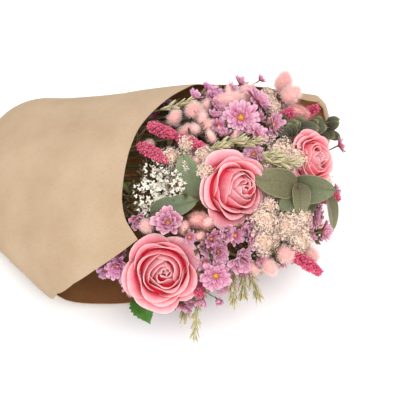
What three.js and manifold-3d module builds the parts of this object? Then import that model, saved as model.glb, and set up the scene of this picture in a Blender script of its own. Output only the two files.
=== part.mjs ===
// A mixed bouquet of dried flowers and roses, lying on its side in a kraft paper wrap.
// Millimetres, +Z up. The stems run towards -X and the blooms towards +X, and the wrap's underside
// rests on z = 0, with the origin on its flat strip.
import * as THREE from 'three';
import { mergeVertices } from 'three/addons/utils/BufferGeometryUtils.js';
import Module from 'manifold-3d';

const wasm = await Module();
wasm.setup();

// Driving dimensions.
const clearance = 0.35; // left between neighbouring pieces
const bladeThickness = 0.8; // petals and leaves
const stemEndX = -285; // the cut ends
const bindingX = -205; // where the stems are bound and start to spread
const bundleHeight = 22.5; // middle of the bound stems above the surface
const bundleRadius = 13.2;
const roseStemRadius = 2.1;
const thinStemRadius = 1.1;
const branchRadius = 0.7;
const forkDistance = 46; // from a spray's fork to the middle of its heads
const stemMargin = 0.55; // what a stem's keep-out adds to its radius
const calyxRadius = 6;
const roseLeafLong = 34;
const roseLeafWide = 10;
const goldenAngle = 2.39996;
const domeCentre = new THREE.Vector3(30, 0, 72); // the mass of blooms is part of an ellipsoid
const domeRadii = new THREE.Vector3(125, 118, 76);

// The wrap: how its cross-section grows from the tied waist to the open mouth.
const paperThickness = 0.8;
const paperTailX = -250;
const waistX = -226;
const waistRadius = 18;
const plyGap = 2.6; // the inner ply's edge lies this much inside the outer ply
const paperSink = 2.5; // the section is cut off flat by this much, where it lies on the surface
const paperStations = [
  { x: -250, far: 25, near: -25, high: 49, lift: 0 },
  { x: waistX - 5, far: waistRadius, near: -waistRadius, high: 2 * waistRadius, lift: 7 },
  { x: waistX + 5, far: waistRadius, near: -waistRadius, high: 2 * waistRadius, lift: 7 },
  { x: -200, far: 46, near: -32, high: 50, lift: 1 },
  { x: -180, far: 74, near: -50, high: 60, lift: 0 },
  { x: -155, far: 86, near: -66, high: 78, lift: 0 },
  { x: -120, far: 89, near: -90, high: 98, lift: 0 },
  { x: -80, far: 90, near: -115, high: 119, lift: 0 },
  { x: -40, far: 97, near: -121, high: 136, lift: 0 },
  { x: 0, far: 107, near: -122, high: 146, lift: 0 },
  { x: 60, far: 116, near: -122, high: 152, lift: 0 },
  { x: 140, far: 122, near: -118, high: 156, lift: 0 },
];
// Where the sheet's mouth ends, by the turn round the section: 0 is the far side, 90 the top,
// 180 the near side and -90 the bottom. The turn starts and ends at the sheet's two side edges.
const mouthLine = [
  { turn: -106, x: 50 },
  { turn: -100, x: 55 },
  { turn: -92, x: 75 },
  { turn: -82, x: 105 },
  { turn: -68, x: 129 }, // the sheet's lower far corner
  { turn: -50, x: 133 },
  { turn: -32, x: 133 },
  { turn: -14, x: 127 },
  { turn: 0, x: 116 },
  { turn: 11, x: 109 }, // the far corner
  { turn: 16, x: 60 },
  { turn: 22, x: 6 },
  { turn: 32, x: 0 },
  { turn: 42, x: -4 },
  { turn: 54, x: -14 },
  { turn: 66, x: -24 },
  { turn: 78, x: -31 },
  { turn: 92, x: -33 },
  { turn: 106, x: -32 },
  { turn: 118, x: -29 },
  { turn: 127, x: -22 },
  { turn: 135, x: -15 }, // the front flap's upper corner
  { turn: 143, x: -32 },
  { turn: 151, x: -48 },
  { turn: 162, x: -65 },
  { turn: 178, x: -77 },
  { turn: 198, x: -91 }, // the front flap's lower corner
];
const startEdge = [[-250, -146], [-140, -146], [-80, -144], [50, -106]];
const endEdge = [[-250, 236], [-170, 224], [-125, 208], [-91, 198]];

// The sheet's rows: square to the bouquet at the waist, then shared out as far as the mouth.
const squareRows = [paperTailX, waistX - 5, waistX + 5, -202, -176];
const sharedRows = 4;

// What stands in the bundle. Each head is at [x, y, z] with its radius, and the head's kind decides
// its form. A spray carries its heads on thin branches from one stem.
const roses = [
  { name: 'rose_low', at: [13, -97, 97], size: 33.5, facing: [0.15, -0.62, 0.77], leaf: [3, -100, 54] },
  { name: 'rose_mid', at: [56, -26, 128], size: 32, facing: [0.5, -0.36, 0.79], leaf: [20, -52, 92] },
  { name: 'rose_end', at: [112, 32, 108], size: 27, facing: [0.84, 0.02, 0.54], leaf: [84, 50, 84] },
];
const sprays = [
  { name: 'daisy_spray_top', kind: 'daisy', heads: [
    { at: [52, 38, 141], size: 16, open: 1, facing: [0.15, -0.45, 0.88] },
    { at: [40, 30, 131], size: 10, open: 0.3 },
    { at: [28, 50, 131], size: 10, open: 0.5 },
  ] },
  { name: 'daisy_spray_crown', kind: 'daisy', heads: [
    { at: [68, 25, 138], size: 11, open: 0.9 },
    { at: [79, 45, 129], size: 12, open: 0.7, facing: [0.8, -0.1, 0.6] },
    { at: [76, 8, 137], size: 7, open: 0.1, facing: [0.1, -0.9, 0.3] },
  ] },
  { name: 'daisy_spray_far', kind: 'daisy', heads: [
    { at: [61, 68, 127], size: 15, open: 0.9 },
    { at: [41, 98, 109], size: 10, open: 0.6 },
    { at: [57, 109, 106], size: 7, open: 0.3 },
  ] },
  { name: 'daisy_spray_rim', kind: 'daisy', heads: [
    { at: [6, 58, 130], size: 9, open: 0.4 },
    { at: [14, 76, 122], size: 8, open: 0.4 },
    { at: [27, 72, 122], size: 7, open: 0.6 },
    { at: [36, 86, 116], size: 8, open: 0.7 },
  ] },
  { name: 'daisy_spray_flap', kind: 'daisy', heads: [
    { at: [13, -66, 125], size: 15, open: 0.45, facing: [0, -0.45, 0.9] },
    { at: [-14, -62, 115], size: 10, open: 0.4, facing: [0.3, -0.8, 0.5] },
    { at: [-12, -22, 118], size: 5, open: 0.1 },
  ] },
  { name: 'daisy_spray_corner', kind: 'daisy', heads: [
    { at: [-26, -92, 84], size: 12, open: 0.6, facing: [0.1, -0.8, 0.6] },
    { at: [-40, -84, 58], size: 10, open: 0.7, facing: [0, -0.95, 0.3] },
  ] },
  { name: 'daisy_spray_near', kind: 'daisy', heads: [
    { at: [57, -68, 127], size: 12, open: 0.2 },
    { at: [46, -74, 112], size: 10, open: 0.8 },
    { at: [72, -54, 120], size: 10, open: 0.3, facing: [0.8, -0.5, 0.3] },
  ] },
  { name: 'daisy_spray_side', kind: 'daisy', heads: [
    { at: [75, -79, 112], size: 13, open: 0.5, facing: [0.2, -0.93, 0.3] },
    { at: [82, -64, 117], size: 10, open: 0.6 },
    { at: [58, -83, 113], size: 9, open: 0.5 },
  ] },
  { name: 'daisy_spray_low', kind: 'daisy', heads: [
    { at: [58, -95, 105], size: 13, open: 1, facing: [0.2, -0.62, 0.76] },
    { at: [62, -107, 88], size: 7, open: 0.2 },
    { at: [50, -106, 80], size: 8, open: 0.2, facing: [0.1, -0.9, 0] },
  ] },
  { name: 'daisy_spray_right', kind: 'daisy', heads: [
    { at: [137, -33, 98], size: 9, open: 0.5 },
    { at: [124, -52, 74], size: 9, open: 0.3 },
  ] },
  { name: 'daisy_spray_end', kind: 'daisy', heads: [
    { at: [138, 66, 86], size: 9, open: 0.6 },
    { at: [140, 32, 60], size: 11, open: 0.8 },
  ] },
  { name: 'daisy_spray_back', kind: 'daisy', heads: [
    { at: [22, 92, 96], size: 10, open: 0.7 },
    { at: [88, 104, 76], size: 12, open: 0.9 },
  ] },
  { name: 'daisy_spray_under', kind: 'daisy', heads: [
    { at: [136, -6, 56], size: 11, open: 0.8 },
    { at: [108, -38, 58], size: 12, open: 0.9 },
  ] },
  { name: 'daisy_spray_foot', kind: 'daisy', heads: [
    { at: [22, -86, 42], size: 11, open: 0.8, facing: [0.1, -0.95, 0.2] },
    { at: [62, -70, 46], size: 12, open: 0.8, facing: [0.3, -0.9, 0.1] },
  ] },
  { name: 'bunny_tails_rim', kind: 'tail', heads: [
    { at: [-4, 31, 134], size: 6, long: 10 },
    { at: [11, 39, 138], size: 7, long: 9 },
  ] },
  { name: 'bunny_tails_top', kind: 'tail', heads: [
    { at: [26, 26, 137], size: 5.5, long: 9 },
    { at: [8, 20, 132], size: 6, long: 10 },
  ] },
  { name: 'bunny_tails_long', kind: 'tail', heads: [
    { at: [36, 61, 131], size: 7, long: 17, facing: [0.88, 0.2, 0.3] },
    { at: [48, 84, 118], size: 6, long: 9 },
  ] },
  { name: 'bunny_tails_far', kind: 'tail', heads: [
    { at: [80, 106, 112], size: 8.5, long: 13, facing: [0.1, 0.35, 0.9] },
    { at: [88, 92, 114], size: 8, long: 12 },
  ] },
  { name: 'bunny_tail_corner', kind: 'tail', heads: [
    { at: [97, 80, 106], size: 7, long: 13, facing: [0.7, -0.3, 0.3] },
  ] },
  { name: 'bunny_tails_mid', kind: 'tail', heads: [
    { at: [25, -63, 110], size: 6.5, long: 10 },
    { at: [36, -58, 124], size: 6.5, long: 10, facing: [0.9, 0.1, 0.4] },
  ] },
  { name: 'bunny_tails_flap', kind: 'tail', heads: [
    { at: [-4, -71, 122], size: 6, long: 8, facing: [0.2, -0.6, 0.7] },
    { at: [-20, -74, 104], size: 5, long: 10 },
  ] },
  { name: 'bunny_tails_near', kind: 'tail', heads: [
    { at: [98, -76, 101], size: 6, long: 11, facing: [0.6, -0.7, 0.3] },
    { at: [109, -63, 104], size: 6.5, long: 9 },
  ] },
  { name: 'bunny_tail_right', kind: 'tail', heads: [
    { at: [128, -50, 86], size: 8, long: 10 },
  ] },
  { name: 'bunny_tail_inner', kind: 'tail', heads: [
    { at: [-20, 4, 126], size: 5, long: 7 },
  ] },
  { name: 'bunny_tails_back', kind: 'tail', heads: [
    { at: [60, 100, 62], size: 8, long: 12 },
    { at: [104, 100, 34], size: 8, long: 11 },
  ] },
  { name: 'bunny_tails_under', kind: 'tail', heads: [
    { at: [130, 12, 34], size: 7, long: 11 },
    { at: [100, -30, 28], size: 7, long: 11 },
  ] },
  { name: 'crimson_spikes_rim', kind: 'spike', heads: [
    { at: [-12, 14, 137], size: 6, long: 15, facing: [0.8, -0.35, 0.25] },
    { at: [15, 4, 141], size: 5, long: 13, facing: [0.92, -0.3, 0.15] },
  ] },
  { name: 'crimson_spike_flap', kind: 'spike', heads: [
    { at: [-14, -9, 136], size: 5.5, long: 18, facing: [0.84, -0.46, 0.24] },
  ] },
  { name: 'crimson_spikes_far', kind: 'spike', heads: [
    { at: [84, 66, 112], size: 5.5, long: 12 },
    { at: [105, 92, 92], size: 5, long: 11 },
  ] },
  { name: 'crimson_spike_near', kind: 'spike', heads: [
    { at: [125, -60, 92], size: 6, long: 19, facing: [0.75, -0.1, -0.55] },
  ] },
  { name: 'crimson_spike_low', kind: 'spike', heads: [
    { at: [46, -98, 90], size: 5, long: 10, facing: [0.1, -0.9, 0.2] },
  ] },
  { name: 'crimson_spike_end', kind: 'spike', heads: [
    { at: [133, 14, 78], size: 5.5, long: 13 },
  ] },
  { name: 'cream_heads_mid', kind: 'fluff', heads: [
    { at: [17, -6, 128], size: 13 },
    { at: [27, -28, 124], size: 9 },
  ] },
  { name: 'cream_head_far', kind: 'fluff', heads: [{ at: [67, 88, 104], size: 12 }] },
  { name: 'cream_head_crown', kind: 'fluff', heads: [{ at: [90, 18, 126], size: 15 }] },
  { name: 'cream_head_near', kind: 'fluff', heads: [{ at: [94, -48, 106], size: 16 }] },
  { name: 'cream_head_right', kind: 'fluff', heads: [{ at: [113, -36, 106], size: 14 }] },
  { name: 'cream_head_low', kind: 'fluff', heads: [{ at: [84, -58, 72], size: 13 }] },
  { name: 'cream_head_back', kind: 'fluff', heads: [{ at: [128, 62, 30], size: 13 }] },
  { name: 'gyp_spray', kind: 'mist', heads: [{ at: [-3, -36, 122], size: 23 }] },
  { name: 'eucalyptus_mid', kind: 'leaves', heads: [
    { at: [20, -22, 133], size: 20, wide: 11, facing: [0.1, 0.9, 0.5], up: [0.3, -0.7, 0.6] },
    { at: [13, -51, 124], size: 20, wide: 9, facing: [0.9, -0.3, -0.1], up: [-0.2, -0.5, 0.9] },
  ] },
  { name: 'eucalyptus_right', kind: 'leaves', heads: [
    { at: [92, -14, 131], size: 19, wide: 12, facing: [-0.8, -0.1, 0.2], up: [0.2, -0.4, 0.9] },
    { at: [122, -6, 118], size: 19, wide: 12, facing: [0.9, 0.1, 0.1], up: [0.1, -0.5, 0.85] },
    { at: [114, -20, 122], size: 14, wide: 8, facing: [0.2, -0.9, -0.3], up: [0.4, -0.3, 0.85] },
    { at: [142, -12, 98], size: 15, wide: 8, facing: [0.3, -0.7, -0.5], up: [0.8, -0.2, 0.5] },
  ] },
  { name: 'eucalyptus_far', kind: 'leaves', heads: [
    { at: [94, 52, 122], size: 10, wide: 8, facing: [0.5, 0.7, 0.1], up: [0, -0.4, 0.9] },
    { at: [110, 58, 116], size: 10, wide: 8, facing: [0.9, 0.1, 0], up: [0.2, -0.4, 0.9] },
    { at: [122, 78, 96], size: 9, wide: 7, facing: [0.8, 0.5, -0.2], up: [0.3, -0.3, 0.9] },
  ] },
  { name: 'eucalyptus_back', kind: 'leaves', heads: [
    { at: [40, 104, 78], size: 15, wide: 10, facing: [0.6, 0.5, 0.4], up: [-0.1, 0.9, 0.3] },
    { at: [76, 106, 44], size: 15, wide: 10, facing: [0.9, 0.3, -0.1], up: [0.1, 0.9, 0.2] },
  ] },
  { name: 'oats_low', kind: 'oat', heads: [{ at: [46, -117, 60], size: 20, facing: [0.05, -0.5, -0.8] }] },
  { name: 'oats_near', kind: 'oat', heads: [
    { at: [73, -98, 98], size: 16, facing: [0.2, -0.9, 0.1] },
    { at: [88, -88, 92], size: 15, facing: [0.4, -0.8, 0.1] },
  ] },
  { name: 'oats_top', kind: 'oat', heads: [{ at: [44, 6, 144], size: 15, facing: [0.7, 0.2, 0.3] }] },
  { name: 'oats_crown', kind: 'oat', heads: [{ at: [92, 2, 138], size: 14, facing: [0.9, 0.1, 0.1] }] },
  { name: 'oats_rim', kind: 'oat', heads: [{ at: [-6, 44, 134], size: 17, facing: [0.8, 0.2, 0.3] }] },
];
const colours = {
  paper: 0xd6b894, twine: 0xb99563, band: 0x8a6b45, stem: 0x7d8a52, rose: 0xf0808c, daisy: 0xd38fc4,
  tail: 0xefb0ae, spike: 0xa8284a, fluff: 0xf0e2cc, mist: 0xf4efe4, leaves: 0x84937a, oat: 0xc9bd8e,
};

const vec = (list) => new THREE.Vector3(...list);
const bindingPoint = new THREE.Vector3(bindingX, 0, bundleHeight);

// Plain position-only geometry with shared vertices and no collapsed triangles.
function weld(geometry) {
  const bare = geometry.clone();
  for (const name of Object.keys(bare.attributes)) {
    if (name !== 'position') bare.deleteAttribute(name);
  }
  const welded = mergeVertices(bare, 1e-4);
  const kept = [];
  for (let i = 0; i < welded.index.count; i += 3) {
    const [a, b, c] = [0, 1, 2].map((k) => welded.index.getX(i + k));
    if (a !== b && b !== c && c !== a) kept.push(a, b, c);
  }
  welded.setIndex(kept);
  return welded;
}

// A closed geometry as a solid that can be joined and cut.
function solidOf(geometry) {
  const welded = weld(geometry);
  const vertProperties = Float32Array.from(welded.attributes.position.array);
  const triVerts = Uint32Array.from(welded.index.array);
  const solid = new wasm.Manifold(new wasm.Mesh({ numProp: 3, vertProperties, triVerts }));
  if (solid.volume() > 0) return solid;
  for (let i = 0; i < triVerts.length; i += 3) {
    [triVerts[i], triVerts[i + 1]] = [triVerts[i + 1], triVerts[i]];
  }
  return new wasm.Manifold(new wasm.Mesh({ numProp: 3, vertProperties, triVerts }));
}

function geometryOf(solid) {
  const mesh = solid.getMesh();
  const geometry = new THREE.BufferGeometry();
  geometry.setAttribute('position', new THREE.BufferAttribute(mesh.vertProperties, 3));
  geometry.setIndex(new THREE.BufferAttribute(mesh.triVerts, 1));
  return geometry;
}

// Unit shapes with shared vertices: a ball with its poles on Z, and a ball of even triangles.
function unitBall(sides, rings) {
  return weld(new THREE.SphereGeometry(1, sides, rings).rotateX(Math.PI / 2));
}

function unitGem(detail) {
  return weld(new THREE.IcosahedronGeometry(1, detail));
}

// Moves every vertex of a geometry to where the form says.
function reshape(geometry, form) {
  const place = geometry.attributes.position;
  for (let i = 0; i < place.count; i += 1) {
    place.setXYZ(i, ...form(place.getX(i), place.getY(i), place.getZ(i)));
  }
  return geometry;
}

// An open sheet given a thickness: both faces keep the same triangles and the rim is closed.
function thicken(sheet, thickness) {
  const face = weld(sheet);
  face.computeVertexNormals();
  const place = face.attributes.position;
  const normal = face.attributes.normal;
  const points = [];
  for (const side of [0.5, -0.5]) {
    for (let i = 0; i < place.count; i += 1) {
      const reach = side * thickness;
      points.push(place.getX(i) + reach * normal.getX(i));
      points.push(place.getY(i) + reach * normal.getY(i));
      points.push(place.getZ(i) + reach * normal.getZ(i));
    }
  }
  const triangles = [];
  const edges = new Map();
  const below = place.count;
  for (let i = 0; i < face.index.count; i += 3) {
    const corners = [0, 1, 2].map((k) => face.index.getX(i + k));
    triangles.push(...corners, corners[0] + below, corners[2] + below, corners[1] + below);
    corners.forEach((from, k) => edges.set(`${from},${corners[(k + 1) % 3]}`, [from, corners[(k + 1) % 3]]));
  }
  for (const [from, to] of edges.values()) {
    if (!edges.has(`${to},${from}`)) {
      triangles.push(to, from, from + below, to, from + below, to + below);
    }
  }
  const closed = new THREE.BufferGeometry();
  closed.setAttribute('position', new THREE.Float32BufferAttribute(points, 3));
  closed.setIndex(triangles);
  return closed;
}

// Turns a geometry's +Z to the facing and sets it down.
function aim(geometry, at, facing) {
  const turn = new THREE.Quaternion().setFromUnitVectors(new THREE.Vector3(0, 0, 1), facing);
  return geometry.applyQuaternion(turn).translate(at.x, at.y, at.z);
}

// A thin stalk through a few points, mitred at each.
function stalk(points, radius, sides = 3) {
  const last = points.length - 1;
  const directions = points.map((point, i) => {
    const before = points[Math.max(0, i - 1)];
    const after = points[Math.min(last, i + 1)];
    const arriving = point.clone().sub(before).normalize();
    const leaving = after.clone().sub(point).normalize();
    return arriving.add(leaving).normalize();
  });
  const upright = Math.abs(directions[0].z) > 0.9;
  let across = upright ? new THREE.Vector3(1, 0, 0) : new THREE.Vector3(0, 0, 1);
  const frames = directions.map((direction) => {
    across = across.clone().addScaledVector(direction, -across.dot(direction)).normalize();
    return [across, direction.clone().cross(across)];
  });
  const column = new THREE.CylinderGeometry(1, 1, last, sides, last);
  return reshape(column, (x, y, z) => {
    const level = Math.round(last / 2 - y);
    const point = points[level].clone();
    point.addScaledVector(frames[level][0], x * radius).addScaledVector(frames[level][1], z * radius);
    return point.toArray();
  });
}

// An ellipsoid that keeps neighbours out of a head.
function roundKeepOut(wide, tall, sides = 6, rings = 4) {
  const grown = 1.1;
  const reach = wide * grown + clearance;
  return unitBall(sides, rings).scale(reach, reach, tall * grown + clearance);
}

// One ring of daisy petals: a star whose tips rise to the given slope.
function petalStar(count, reach, slope) {
  const fan = new THREE.CircleGeometry(1, 2 * count);
  reshape(fan, (x, y) => {
    const step = Math.round(Math.atan2(y, x) / (Math.PI / count));
    const far = Math.hypot(x, y) * reach * (step % 2 === 0 ? 1 : 0.5);
    const turn = Math.atan2(y, x);
    const rise = far * Math.sin(slope) - (0.1 * far * far) / reach;
    return [far * Math.cos(slope) * Math.cos(turn), far * Math.cos(slope) * Math.sin(turn), rise];
  });
  return thicken(fan, bladeThickness);
}

// A papery daisy turned from one profile: a domed button, a raised inner ring of petals and a
// pointed outer ring. A small head has the outer ring only.
function daisyHead({ size, open }) {
  const slope = THREE.MathUtils.degToRad(66 - 52 * open);
  const small = size < 12;
  const petals = small ? 5 : 6;
  const tip = [size * Math.cos(slope), size * Math.sin(slope)];
  const rings = [
    { out: 0, up: 0.2 * tip[1] + 0.2 * size },
    { out: 0.3 * tip[0], up: 0.3 * tip[1] + 0.12 * size },
    { out: 0.6 * tip[0], up: 0.6 * tip[1] + 0.5, inner: true },
    { out: tip[0], up: tip[1], outer: true },
    { out: tip[0], up: tip[1] - bladeThickness, outer: true },
    { out: 0, up: -bladeThickness },
  ].filter((ring) => !(ring.inner && small));
  const profile = rings.map((ring, i) => new THREE.Vector2(ring.out > 0 ? 1 : 0, i));
  const head = weld(new THREE.LatheGeometry(profile, 2 * petals).rotateX(Math.PI / 2));
  reshape(head, (x, y, z) => {
    const ring = rings[Math.round(-z) in rings ? Math.round(-z) : Math.round(z)];
    const turn = Math.atan2(y, x);
    const valley = Math.round(turn / (Math.PI / petals)) % 2 !== 0;
    let { out, up } = ring;
    if (ring.outer && valley) {
      out *= 0.52;
      up *= 0.52;
    }
    if (ring.inner) {
      out *= valley ? 1.05 : 0.7;
      up = valley ? up + 0.22 * size : up;
    }
    return [out * Math.cos(turn), out * Math.sin(turn), up];
  });
  const tall = Math.max(0.22 * size, 0.55 * tip[1]);
  return { pieces: [head], wide: tip[0], tall, centre: 0.8 * tall, seat: 0.1 };
}

// A ball whose vertices stand out by turns, so that it reads as tufts.
function tuftedBall(wide, tall, sides, rings, proud) {
  return reshape(unitBall(sides, rings), (x, y, z) => {
    const ring = Math.round((Math.acos(THREE.MathUtils.clamp(z, -1, 1)) / Math.PI) * rings);
    const step = Math.round((Math.atan2(y, x) / (2 * Math.PI)) * sides);
    const out = ((ring + step) % 2 === 0) ? 1 : 1 - proud;
    return [x * wide * out, y * wide * out, z * tall];
  });
}

function tailHead({ size, long }) {
  const ball = tuftedBall(size, long, 6, 6, 0.24);
  return { pieces: [ball], wide: size, tall: long, centre: 0, seat: -0.85 * long };
}

function spikeHead({ size, long }) {
  const ball = tuftedBall(size, long, 6, 9, 0.34);
  return { pieces: [ball], wide: size, tall: long, centre: 0, seat: -0.85 * long };
}

// A dense head of tiny florets: a small ball with every other point drawn out.
function fluffHead({ size }) {
  const ball = unitGem(size > 13 ? 2 : 1);
  reshape(ball, (x, y, z) => {
    const out = Math.sin(23 * x + 5) * Math.sin(19 * y + 1) * Math.sin(21 * z + 3) > 0 ? 1 : 0.74;
    return [x * size * out, y * size * out, z * size * 0.85 * out];
  });
  return { pieces: [ball], wide: size, tall: size * 0.85, centre: 0, seat: -0.5 * size };
}

// An airy spray: florets spread evenly over a cap, each on a twig from the foot.
function mistHead({ size }) {
  const florets = 12;
  const pieces = [];
  const foot = new THREE.Vector3(0, 0, -0.66 * size);
  for (let i = 0; i < florets; i += 1) {
    const spread = Math.sqrt((i + 0.5) / florets) * size;
    const turn = i * goldenAngle;
    const high = 0.32 * size * (1 - (spread / size) ** 2) + (i % 3) * 1.6;
    const tip = new THREE.Vector3(spread * Math.cos(turn), spread * Math.sin(turn), high);
    pieces.push(stalk([foot, tip], 0.55, 3));
    pieces.push(weld(new THREE.OctahedronGeometry(2.6, 0)).translate(tip.x, tip.y, tip.z));
  }
  return { pieces, wide: size + 3, tall: 0.46 * size, centre: -0.12 * size, seat: -0.64 * size };
}

// A round leaf, cupped along its rib, lying from its foot along +Z with its face to +X.
function roundLeaf({ size, wide }) {
  const fan = new THREE.CircleGeometry(1, 8);
  reshape(fan, (x, y) => {
    const reach = x * size;
    const side = y * wide * (1 - 0.22 * x);
    return [0.22 * Math.abs(side) - (0.12 * reach * reach) / size, side, reach];
  });
  return thicken(fan, bladeThickness);
}

// Oat spikelets in pairs along a drooping rib.
function oatHead({ size }) {
  const pieces = [];
  const tip = new THREE.Vector3(0, 0, 0.8 * size);
  pieces.push(stalk([new THREE.Vector3(0, 0, -size), tip], branchRadius, 3));
  for (let i = 0; i < 4; i += 1) {
    const grain = weld(new THREE.OctahedronGeometry(1, 0)).scale(1.7, 1.7, 5.2).translate(0, 0, 4.2);
    const lean = 0.5 - 0.05 * i;
    grain.rotateX(lean).rotateZ(i * 2.4);
    pieces.push(grain.translate(0, 0, -0.75 * size + i * 0.4 * size));
  }
  return { pieces, wide: 0.32 * size, tall: 1.05 * size, centre: 0, seat: -0.95 * size };
}

const headMakers = {
  daisy: daisyHead, tail: tailHead, spike: spikeHead, fluff: fluffHead, mist: mistHead, oat: oatHead,
};

// The outward direction of the mass of blooms at a place.
function domeNormal(at) {
  return at.clone().sub(domeCentre).divide(domeRadii).divide(domeRadii).normalize();
}

function facingOf(head) {
  if (head.facing) return vec(head.facing).normalize();
  const outward = vec(head.at).sub(bindingPoint).normalize();
  return domeNormal(vec(head.at)).add(outward).normalize();
}

// One rose petal: a curved blade round the axis, one edge tucked under its neighbour.
function rosePetal(turn, halfAngle, foot, mouth, high, roll) {
  const sheet = new THREE.PlaneGeometry(2, 1, 2, 2);
  reshape(sheet, (s, y) => {
    const t = y + 0.5;
    const narrow = 0.62 + 0.38 * Math.sin(Math.PI * Math.min(1, t + 0.12));
    const around = turn + s * halfAngle * narrow;
    const belly = Math.sin(t * Math.PI * 0.5);
    const out = foot + (mouth - foot) * belly + roll * t ** 4 + 1.5 * s;
    const up = high * (t - 0.1 * s * s * t) - roll * 0.5 * t ** 4;
    return [out * Math.cos(around), out * Math.sin(around), up];
  });
  return thicken(sheet, bladeThickness);
}

// A rose: a furled heart inside three rings of petals.
function roseBloom(size) {
  const pieces = [];
  const low = -0.42 * size;
  const heart = unitBall(6, 4);
  pieces.push(heart.scale(0.27 * size, 0.27 * size, 0.5 * size).translate(0, 0, 0.05 * size));
  const cup = unitBall(6, 4);
  pieces.push(cup.scale(0.5 * size, 0.5 * size, 0.36 * size).translate(0, 0, -0.2 * size));
  const rings = [
    { count: 3, foot: 0.16, mouth: 0.36, high: 1.05, roll: 0.03, start: 0.3 },
    { count: 4, foot: 0.2, mouth: 0.56, high: 1.0, roll: 0.1, start: 0.9 },
    { count: 5, foot: 0.24, mouth: 0.78, high: 0.84, roll: 0.2, start: 0.2 },
  ];
  for (const ring of rings) {
    for (let i = 0; i < ring.count; i += 1) {
      const turn = ring.start + (i * 2 * Math.PI) / ring.count;
      const petal = rosePetal(turn, 1.02 * (Math.PI / ring.count), ring.foot * size, ring.mouth * size,
        ring.high * size, ring.roll * size);
      pieces.push(petal.translate(0, 0, low));
    }
  }
  return pieces;
}

// A toothed rose leaf from its foot along +Z, facing +X.
function toothedLeaf(long, wide) {
  const teeth = 16;
  const fan = new THREE.CircleGeometry(1, teeth);
  reshape(fan, (x, y) => {
    const step = Math.round((Math.atan2(y, x) / (2 * Math.PI)) * teeth);
    const cut = step % 2 === 0 ? 1 : 0.86;
    const reach = (x * cut + 1) * 0.5 * long;
    const side = y * cut * wide * (1 - 0.25 * x);
    return [0.3 * Math.abs(side), side, reach];
  });
  return thicken(fan, bladeThickness);
}

// Turns a leaf's rib (+Z) to the direction and its face (+X) as near to up as that allows.
function layLeaf(leaf, at, direction, up) {
  const rib = vec(direction).normalize();
  const face = vec(up).addScaledVector(rib, -vec(up).dot(rib)).normalize();
  const turn = new THREE.Matrix4().makeBasis(face, rib.clone().cross(face), rib);
  return leaf.applyMatrix4(turn).translate(at.x, at.y, at.z);
}

// The wrap's cross-section.
function stationValue(x, key) {
  const list = paperStations;
  const slope = (i) => {
    const a = list[Math.max(0, i - 1)];
    const b = list[Math.min(list.length - 1, i + 1)];
    return (b[key] - a[key]) / (b.x - a.x);
  };
  let i = 0;
  while (i < list.length - 2 && x > list[i + 1].x) i += 1;
  const step = list[i + 1].x - list[i].x;
  const t = THREE.MathUtils.clamp((x - list[i].x) / step, 0, 1);
  const ease = 3 * t * t - 2 * t ** 3;
  const bend = (t ** 3 - 2 * t * t + t) * step * slope(i) + (t ** 3 - t * t) * step * slope(i + 1);
  return list[i][key] * (1 - ease) + list[i + 1][key] * ease + bend;
}

// Reads a table of [x, value] rows between its rows.
function tableValue(table, x) {
  let i = 0;
  while (i < table.length - 2 && x > table[i + 1][0]) i += 1;
  const t = THREE.MathUtils.clamp((x - table[i][0]) / (table[i + 1][0] - table[i][0]), 0, 1);
  return table[i][1] + t * (table[i + 1][1] - table[i][1]);
}

// The point of the wrap at a distance along the bouquet and a turn round it. The inner ply's edge
// is drawn in where the outer ply passes over it.
function paperPoint(x, turn) {
  const [far, near, high, lift] = ['far', 'near', 'high', 'lift'].map((key) => stationValue(x, key));
  const open = THREE.MathUtils.smoothstep(x, waistX + 6, waistX + 56);
  const tucked = THREE.MathUtils.smoothstep(-turn, 96, 140) * THREE.MathUtils.smoothstep(-x, 70, 130);
  const half = (far - near) / 2 - plyGap * tucked;
  const tall = high / 2 - plyGap * tucked;
  const c = Math.cos(THREE.MathUtils.degToRad(turn));
  const s = Math.sin(THREE.MathUtils.degToRad(turn));
  const squareness = s < 0 ? 2.9 : (c < 0 ? 1.6 : 2);
  const power = 2 / (2 + (squareness - 2) * open);
  const y = (far + near) / 2 + half * Math.sign(c) * Math.abs(c) ** power;
  const z = high / 2 + tall * Math.sign(s) * Math.abs(s) ** power + lift - paperSink;
  const floor = paperThickness / 2 + plyGap * tucked;
  return [x, y, Math.max(floor, z)];
}

function paperSheet(thickness) {
  const rows = squareRows.length - 1 + sharedRows;
  const columns = mouthLine.length - 1;
  const sheet = new THREE.PlaneGeometry(1, 1, columns, rows);
  const firstTurn = mouthLine[0].turn;
  const lastTurn = mouthLine[columns].turn;
  reshape(sheet, (s, t) => {
    const { turn, x: mouthX } = mouthLine[Math.round((s + 0.5) * columns)];
    const share = (turn - firstTurn) / (lastTurn - firstTurn);
    const row = Math.round((t + 0.5) * rows);
    const [x, startX, endX] = [mouthX, mouthLine[0].x, mouthLine[columns].x].map((mouth) => {
      if (row < squareRows.length) return squareRows[row];
      const lastSquare = squareRows[squareRows.length - 1];
      return lastSquare + ((row - squareRows.length + 1) / sharedRows) * (mouth - lastSquare);
    });
    const start = tableValue(startEdge, startX);
    const end = tableValue(endEdge, endX);
    return paperPoint(x, start + share * (end - start));
  });
  return thicken(sheet, thickness);
}

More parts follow.
